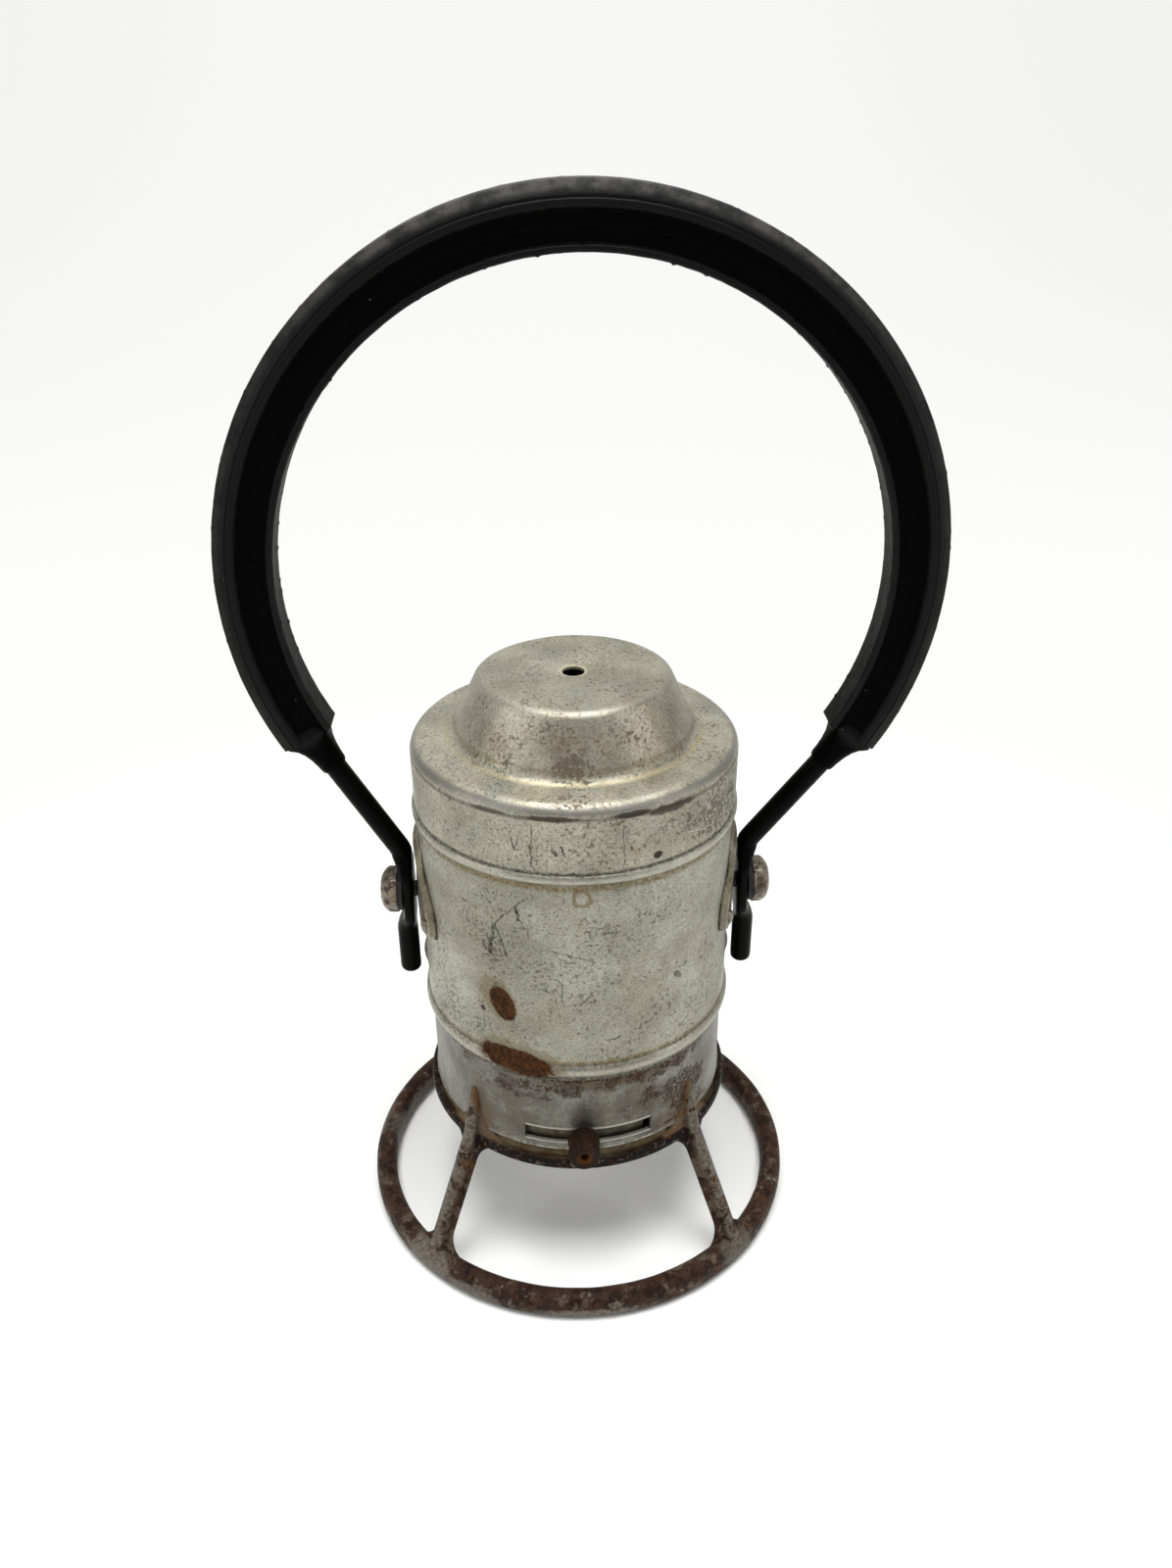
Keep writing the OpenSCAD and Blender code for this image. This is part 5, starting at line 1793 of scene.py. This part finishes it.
    def grip_mesh(self) -> bpy.types.Object:
        """Sweep the grip's section round the bow, with edges nicked and waved by use."""
        front = rounded(self.half_section(), 4)
        loop = spaced(front, 0.7) + spaced([(x, -y) for x, y in front[::-1]], 0.7)[1:-1]
        section = np.array(loop)
        middle_x, middle_z = self.centre
        rings = []
        steps = self.grip_steps
        for k in range(steps + 1):
            angle = self.ends[0] + 2 * self.grip_angle * k / steps
            a = math.radians(angle)
            ring = []
            for x, y in section:
                here = Vector((angle / 3.2, x / 5, y / 5))
                edge = abs(y) / 6 * (1 if abs(x) > 4 else 0.3)
                wave = noise.noise(here) * 0.16 * edge
                nick = max(0.0, noise.noise(Vector((angle / 0.6, x / 3, y / 3 + 7))) - 0.42) * 1.3 * edge
                reach = self.bow_radius + x + math.copysign(wave - nick, x)
                swell = 1 + 0.03 * noise.noise(Vector((angle / 6, x / 8, 2.2)))
                depth = y * swell - math.copysign(nick * 0.5, y)
                ring.append((middle_x + reach * math.cos(a), depth, middle_z + reach * math.sin(a)))
            rings.append(np.array(ring))
        made = mesh_object("grip_tread", *swept(rings), 38)
        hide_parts("bail_grip")
        return made

    def boots_mesh(self) -> bpy.types.Object:
        """Loft the boot at each end of the grip, from its full width down to the rod."""
        stations = np.array([
            (-3, 6.4, 4.7, 5), (0, 7.2, 5.1, 5), (0.6, 7.0, 5.0, 4.5), (2, 5.7, 4.8, 3.4),
            (4, 4.9, 4.5, 2.6), (6.5, 4.35, 4.2, 2.2), (9, 4.05, 4.0, 2), (11.4, 3.85, 3.85, 2),
            (12, 3.5, 3.5, 2),
        ])
        parts = []
        for side, end in ((-1, self.ends[1]), (1, self.ends[0])):
            foot = self.on_bow(end)
            way = np.array([side * self.half_width, self.bend]) - foot
            way /= np.linalg.norm(way)
            rings = []
            for along in np.arange(stations[0, 0], stations[-1, 0] + 0.01, 0.5):
                sizes = [np.interp(along, stations[:, 0], stations[:, k]) for k in (1, 2, 3)]
                rings.append(crossed(foot + way * along, way, superellipse(*sizes, 48)))
            parts.append(swept(rings))
        return mesh_object("grip_boots", *joined(parts), 50)

    def build(self) -> None:
        """Build and dress the bail."""
        place(self.rod_mesh(), Body.BAIL, Enamel().make())
        rubber = Rubber(self.centre, self.bow_radius + self.reach_out).make()
        place(self.grip_mesh(), Body.BAIL, rubber)
        place(self.boots_mesh(), Body.BAIL, rubber)


@dataclass
class Pivots:
    """Bolts, washers and nuts that the bail turns on."""

    flats: float = 12.7
    head: float = 5.3
    flat_top: float = 2.9
    rounding: float = 1.6
    corner_cap: float = 7.1
    dome_rings: tuple[float, ...] = (0.85, 0.74, 0.62, 0.5, 0.38, 0.26, 0.14, 0.03)
    shank: float = 2.4
    turn: float = -9

    def bolt(self, side: int) -> bpy.types.Object:
        """Make a hexagon bolt with a domed, slightly battered head.

        Args:
            side: 1 for the right and -1 for the left.

        Returns:
            The bolt.
        """
        node = "pivot_bolt_right" if side > 0 else "pivot_bolt_left"
        low, high = corners_mm(node)
        inner, outer = (low[0], high[0]) if side > 0 else (-high[0], -low[0])
        middle = (low[2] + high[2]) / 2
        seat = outer - self.head
        around = np.radians(np.arange(0, 360, 3.0))
        facet = np.radians((np.degrees(around) - self.turn) % 60 - 30)
        rim = np.minimum(self.flats / 2 / np.cos(facet), self.corner_cap)
        worn = np.array([
            noise.noise(Vector((math.cos(a) * 3, math.sin(a) * 3, side * 5))) for a in around
        ])
        even = np.ones_like(around)

        def domed(radius: np.ndarray) -> np.ndarray:
            past = np.maximum(radius - self.flat_top, 0.0) / (self.flats / 2 - self.flat_top)
            drop = self.rounding * past**2
            return outer - drop - 0.1 - 0.1 * worn * radius / rim

        stations = [
            (even * 0.2, even * inner), (even * (self.shank - 0.4), even * inner),
            (even * self.shank, even * (inner + 0.4)), (even * self.shank, even * (seat - 0.3)),
            (even * self.shank, even * seat), (even * (self.flats / 2 - 0.5), even * seat),
            (rim - 0.25, even * seat), (rim, even * (seat + 0.25)), (rim, even * (seat + 1.2)),
            (rim, domed(rim) - 0.35), (rim - 0.1, domed(rim) - 0.08), (rim - 0.35, domed(rim - 0.35)),
            *[(rim * share, domed(rim * share)) for share in self.dome_rings],
        ]
        rings = [
            np.stack([side * along, -radius * np.cos(around), middle + radius * np.sin(around)], axis=1)
            for radius, along in stations
        ]
        made = mesh_object(f"{node}_worn", *swept(rings), 28)
        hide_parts(node)
        return made

    def build(self) -> None:
        """Build and dress the pivots' hardware."""
        steel = PlainMetal(
            "bolt_steel", hue("938b79"), hue("60574a"), metal=0.6, rough=0.42, pits=0.95, size=4.6,
            dark_inside=53.6,
        ).make()
        dull = PlainMetal("washer_steel", hue("1d1814"), hue("0e0b09"), 0.2, 0.6, 0.5, 3).make()
        for side, sign in (("left", -1), ("right", 1)):
            place(self.bolt(sign), Body.HOUSING, steel)
            dressed(Body.HOUSING, dull, 40, f"pivot_washer_{side}")
            dressed(Body.HOUSING, steel, 40, f"pivot_nut_{side}")


@dataclass
class Lamp:
    """Reflector, sockets, bulbs and the contacts above them."""

    def build(self) -> None:
        """Dress the lamp unit."""
        bright = PlainMetal("reflector_tin", hue("d3d2cd"), hue("b9b7b0"), 1.0, 0.16, 0.15, 12).make()
        wire = PlainMetal("clip_steel", hue("8e897d"), hue("6a655b"), 0.9, 0.35, 0.4, 3).make()
        brass = PlainMetal("socket_brass", hue("b08d4e"), hue("8a6c3a"), 1.0, 0.3, 0.3, 3).make()
        contact = PlainMetal("contact_brass", hue("b59250"), hue("94743c"), 1.0, 0.28, 0.25, 4).make()
        board = Board("insulator_board", hue("4a3020"), hue("5f402a")).make()
        glass = ClearGlass().make()
        dressed(Body.HOUSING, bright, 30, "reflector")
        dressed(Body.HOUSING, wire, 40, "reflector_clip")
        dressed(Body.HOUSING, wire, 35, "lamp_posts")
        threaded = ("main_socket", "spare_socket", "main_bulb_base", "spare_bulb_base")
        dressed(Body.HOUSING, brass, 35, *threaded)
        dressed(Body.HOUSING, glass, 50, "main_bulb_glass", "spare_bulb_glass")
        dressed(Body.HOUSING, contact, 35, "battery_contacts", "main_contact", "spare_contact")
        dressed(Body.HOUSING, board, 35, "pivot_sleeve", "insulator_disc")


@dataclass
class Battery:
    """Square battery and its two coil springs."""

    spring_radius: float = 8
    wire: float = 1
    curls: int = 3
    narrowing: float = 0.45
    offset: float = 17.5

    def springs(self, material: bpy.types.Material) -> bpy.types.Object:
        """Sweep the wire along each narrowing spiral."""
        low, high = corners_mm("battery_springs")
        seats = bpy.data.meshes.new("spring_seats")
        top = high[2] - self.wire / 2
        seats.from_pydata([(0, 0, top * MM), (self.offset * MM, self.offset * MM, top * MM)], [], [])
        rise = high[2] - low[2] - self.wire
        tree = Tree("battery springs")
        wide = tree.size("Wide radius", self.spring_radius * MM)
        narrow = tree.size("Narrow radius", self.spring_radius * (1 - self.narrowing) * MM)
        fall = tree.size("Rise", -rise * MM)
        turns = tree.size("Curls", float(self.curls))
        thick = tree.size("Wire radius", self.wire / 2 * MM)
        coil = tree.node(
            "GeometryNodeCurveSpiral", Resolution=40, Rotations=turns, Start_Radius=wide,
            End_Radius=narrow, Height=fall,
        )
        profile = tree.node("GeometryNodeCurvePrimitiveCircle", Radius=thick, Resolution=12)
        wound = tree.node(
            "GeometryNodeCurveToMesh", Curve=coil.outputs[0], Profile_Curve=profile.outputs[0],
            Fill_Caps=True,
        )
        points = tree.node("GeometryNodeMeshToPoints", Mesh=tree.start.outputs["Geometry"])
        copies = tree.node(
            "GeometryNodeInstanceOnPoints", Points=points.outputs[0], Instance=wound.outputs[0]
        )
        made = tree.run("spring_coils", seats, copies.outputs[0], material)
        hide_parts("battery_springs")
        return made

    def build(self) -> None:
        """Build and dress the battery."""
        wrap = Board("battery_wrap", hue("2c3540"), hue("333d48"), 0.45).make()
        dressed(Body.HOUSING, wrap, 35, "battery_case")
        steel = PlainMetal("spring_steel", hue("b5b3ad"), hue("9b988f"), 1.0, 0.25, 0.1, 3).make()
        place(self.springs(steel), Body.HOUSING, steel)


@dataclass
class Switch:
    """Knob, arm and shutter, which turn together about the main socket."""

    knob: float = 9.5
    knob_points: int = 72
    dimple: float = 2.5
    strip_stretch: float = 1.1

    def dimple_at(self) -> Point:
        """Give the knob's middle seen from the front."""
        low, high = corners_mm("switch_knob")
        return ((low[0] + high[0]) / 2, (low[2] + high[2]) / 2)

    def strip_mesh(self) -> bpy.types.Object:
        """Lengthen the curved strip a little round the upright axis, so that it fills the slot."""
        strip = copied("switch_shutter", "shutter_strip", 35)
        for corner in strip.data.vertices:
            x, y, z = corner.co
            reach = math.hypot(x, y)
            angle = math.atan2(x, -y) * self.strip_stretch
            corner.co = (reach * math.sin(angle), -reach * math.cos(angle), z)
        smooth(strip.data, 35)
        return strip

    def knob_mesh(self) -> bpy.types.Object:
        """Revolve the knob with a rounded rim, a turned-down end and a drilled dimple."""
        low, high = corners_mm("switch_knob")
        length = high[1] - low[1]
        r = self.knob / 2
        d = self.dimple / 2
        shank = r * 0.34
        path = rounded([
            (0, length, 0), (shank, length, 0), (shank, 8.8, 0.2), (r - 0.3, 8.8, 0.8), (r, 7.4, 0.6),
            (r - 0.25, 4, 0), (r, 2.2, 0.5), (r - 0.3, 0.5, 0.6), (r - 1.0, 0, 0.4),
            (d + 1.2, 0.15, 0.3), (d + 0.3, 0.6, 0.3), (d, 1.2, 0.2), (d * 0.8, 3, 0.2), (0, 3.2, 0),
        ], 4)
        count = self.knob_points
        angles = np.linspace(0, 2 * math.pi, count, endpoint=False)
        section = np.array(spaced(path, 0.5))
        middle = (low[2] + high[2]) / 2
        rings = []
        for radius, along in section:
            radius -= 0.1 * (1 - math.cos(along * 2 * math.pi / 1.4)) if radius > r - 0.5 else 0
            shake = [noise.noise(Vector((math.cos(a) * 2, math.sin(a) * 2, along))) for a in angles]
            reach = radius * np.array([1 + 0.02 * value for value in shake])
            rings.append(np.stack([
                reach * np.cos(angles), np.full(count, low[1] + along), middle + reach * np.sin(angles)
            ], axis=1))
        faces = grid_faces(len(rings), count)
        made = mesh_object("knob_turned", np.vstack(rings), faces, 45)
        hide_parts("switch_knob")
        return made

    def build(self) -> None:
        """Build and dress the switch."""
        knob = WornIron(
            "knob_rust", brown=hue("1a110a"), warm=hue("2c1d12"), grey=hue("4d4238"), bare=0.0, dirt=0.1,
            dimple=self.dimple_at(),
        ).make()
        place(self.knob_mesh(), Body.SWITCH, knob)
        brass = PlainMetal("arm_brass", hue("b59250"), hue("94743c"), 1.0, 0.28, 0.25, 4).make()
        dressed(Body.SWITCH, brass, 35, "switch_arm")
        strip = PlainMetal("shutter_steel", hue("4f493a"), hue("332d20"), 0.6, 0.4, 0.4, 5).make()
        place(self.strip_mesh(), Body.SWITCH, strip)


@dataclass
class Studio:
    """White sweep, soft lights and the camera."""

    focal_pixels: float = 1305
    image_height: float = 1600
    sensor: float = 36
    camera_at: tuple[float, float, float] = (3.5, -324.9, 324.8)
    pitch: float = 28.911
    yaw: float = -0.08
    roll: float = -0.383
    object_turn: float = 2.5
    axis_at: Point = (-0.3, 0.0)
    white: Colour = hue("fafaf7")
    aim_height: float = 0.13
    floor_half: float = 2600.0
    floor_back: float = 900.0
    floor_curve: float = 700.0
    wall_top: float = 3400.0

    def camera(self) -> None:
        """Stand the camera where the photograph was taken."""
        pitch, yaw, roll = (math.radians(v) for v in (self.pitch, self.yaw, self.roll))
        flat = math.cos(pitch)
        ahead = Vector((math.sin(yaw) * flat, math.cos(yaw) * flat, -math.sin(pitch)))
        level = ahead.cross(Vector((0, 0, 1))).normalized()
        upright = level.cross(ahead)
        right = math.cos(roll) * level + math.sin(roll) * upright
        up = -math.sin(roll) * level + math.cos(roll) * upright
        turn = Matrix.Rotation(math.radians(-self.object_turn), 4, "Z")
        at = Vector(self.camera_at) - Vector((*self.axis_at, 0))
        basis = Matrix((right, up, -ahead)).transposed().to_4x4()
        data = bpy.data.cameras.new("camera")
        data.sensor_width = self.sensor
        data.lens = self.focal_pixels / self.image_height * self.sensor
        data.clip_start = 0.01
        made = linked("camera", data)
        made.matrix_world = turn @ Matrix.Translation(at * MM) @ basis
        bpy.context.scene.camera = made

    def seen(self, s: Shader, colour: Socket, share: Socket) -> None:
        """Show a surface at a set brightness to the camera and to shiny things, and light it otherwise.

        Args:
            s: The surface's shader.
            colour: What is shown.
            share: How much of it is shown, from 0 to 1.
        """
        path = s.nodes.new("ShaderNodeLightPath").outputs
        glow = s.node("ShaderNodeEmission", Color=colour, Strength=1.0)
        straight = s.larger(path["Is Camera Ray"], path["Is Glossy Ray"])
        amount = s.times(s.larger(straight, path["Is Transmission Ray"]), share)
        both = s.node("ShaderNodeMixShader", Fac=amount)
        s.links.new(s.surface.outputs[0], both.inputs[1])
        s.links.new(glow.outputs[0], both.inputs[2])
        s.links.new(both.outputs[0], s.nodes["Material Output"].inputs["Surface"])

    def sweep(self) -> None:
        """Make the white floor that curves up behind the lantern."""
        half, back, curve = self.floor_half, self.floor_back, self.floor_curve
        profile = [(-half, 0.0), (back, 0.0), *arc((back, curve), curve, -90, 0, 24)]
        profile.append((back + curve, self.wall_top))
        across = np.linspace(-half, half, 3)
        points = np.array([(x, y, z) for y, z in profile for x in across])
        count = len(across)
        faces = [
            [r * count + c, r * count + c + 1, (r + 1) * count + c + 1, (r + 1) * count + c]
            for r in range(len(profile) - 1)
            for c in range(count - 1)
        ]
        made = mesh_object("sweep", points, faces, 60)
        s = Shader("sweep_white")
        x, y, z = s.split(s.place)
        away = s.vector("LENGTH", s.join(x, y))
        s.finish(self.white, 0.0, 0.9, shine=0.1)
        far = s.between(s.plus(y, z), 300, 2000)
        wide = s.times(s.between(s.unsigned(x), 100, 900), far)
        shade = s.mix(far, (0.99, 0.99, 0.975, 1), (0.93, 0.93, 0.905, 1))
        shade = s.mix(wide, shade, (0.88, 0.88, 0.86, 1))
        self.seen(s, shade, s.between(away, 130, 420))
        made.data.materials.append(s.material)

    def lamp(self, name: str, at: tuple[float, float, float], size: Point, power: float) -> None:
        """Hang a soft light that faces the lantern.

        Args:
            name: The light's name.
            at: Its place in metres.
            size: Its width and height in metres.
            power: Its power in watts.
        """
        data = bpy.data.lights.new(name, "AREA")
        data.shape = "RECTANGLE"
        data.size, data.size_y = size
        data.energy = power
        made = linked(name, data)
        made.location = at
        aim = Vector((0, 0, self.aim_height)) - Vector(at)
        made.rotation_euler = aim.to_track_quat("-Z", "Y").to_euler()

    def build(self) -> None:
        """Set the stage."""
        scene = bpy.context.scene
        scene.view_settings.view_transform = "Standard"
        self.camera()
        self.sweep()
        world = bpy.data.worlds.new("room")
        scene.world = world
        world.use_nodes = True
        sky = world.node_tree.nodes["Background"].inputs
        sky["Color"].default_value = (0.96, 0.97, 1.0, 1)
        sky["Strength"].default_value = 0.31
        self.lamp("overhead", (0.0, -0.1, 1.15), (0.75, 0.65), 15.3)
        self.lamp("side left", (-1.25, -0.5, 0.55), (0.5, 0.9), 5.5)
        self.lamp("side right", (1.3, -0.45, 0.55), (0.5, 0.9), 5)
        LOG.info("studio ready")


def main() -> None:
    """Build the lantern and its stage, and report each piece."""
    logging.basicConfig(level=logging.INFO, format="%(name)s: %(message)s")
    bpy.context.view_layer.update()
    Studio().build()
    for assembly in (Base(), Can(), Cap(), Bail(), Pivots(), Lamp(), Battery(), Switch()):
        assembly.build()


if __name__ == "__main__":
    main()
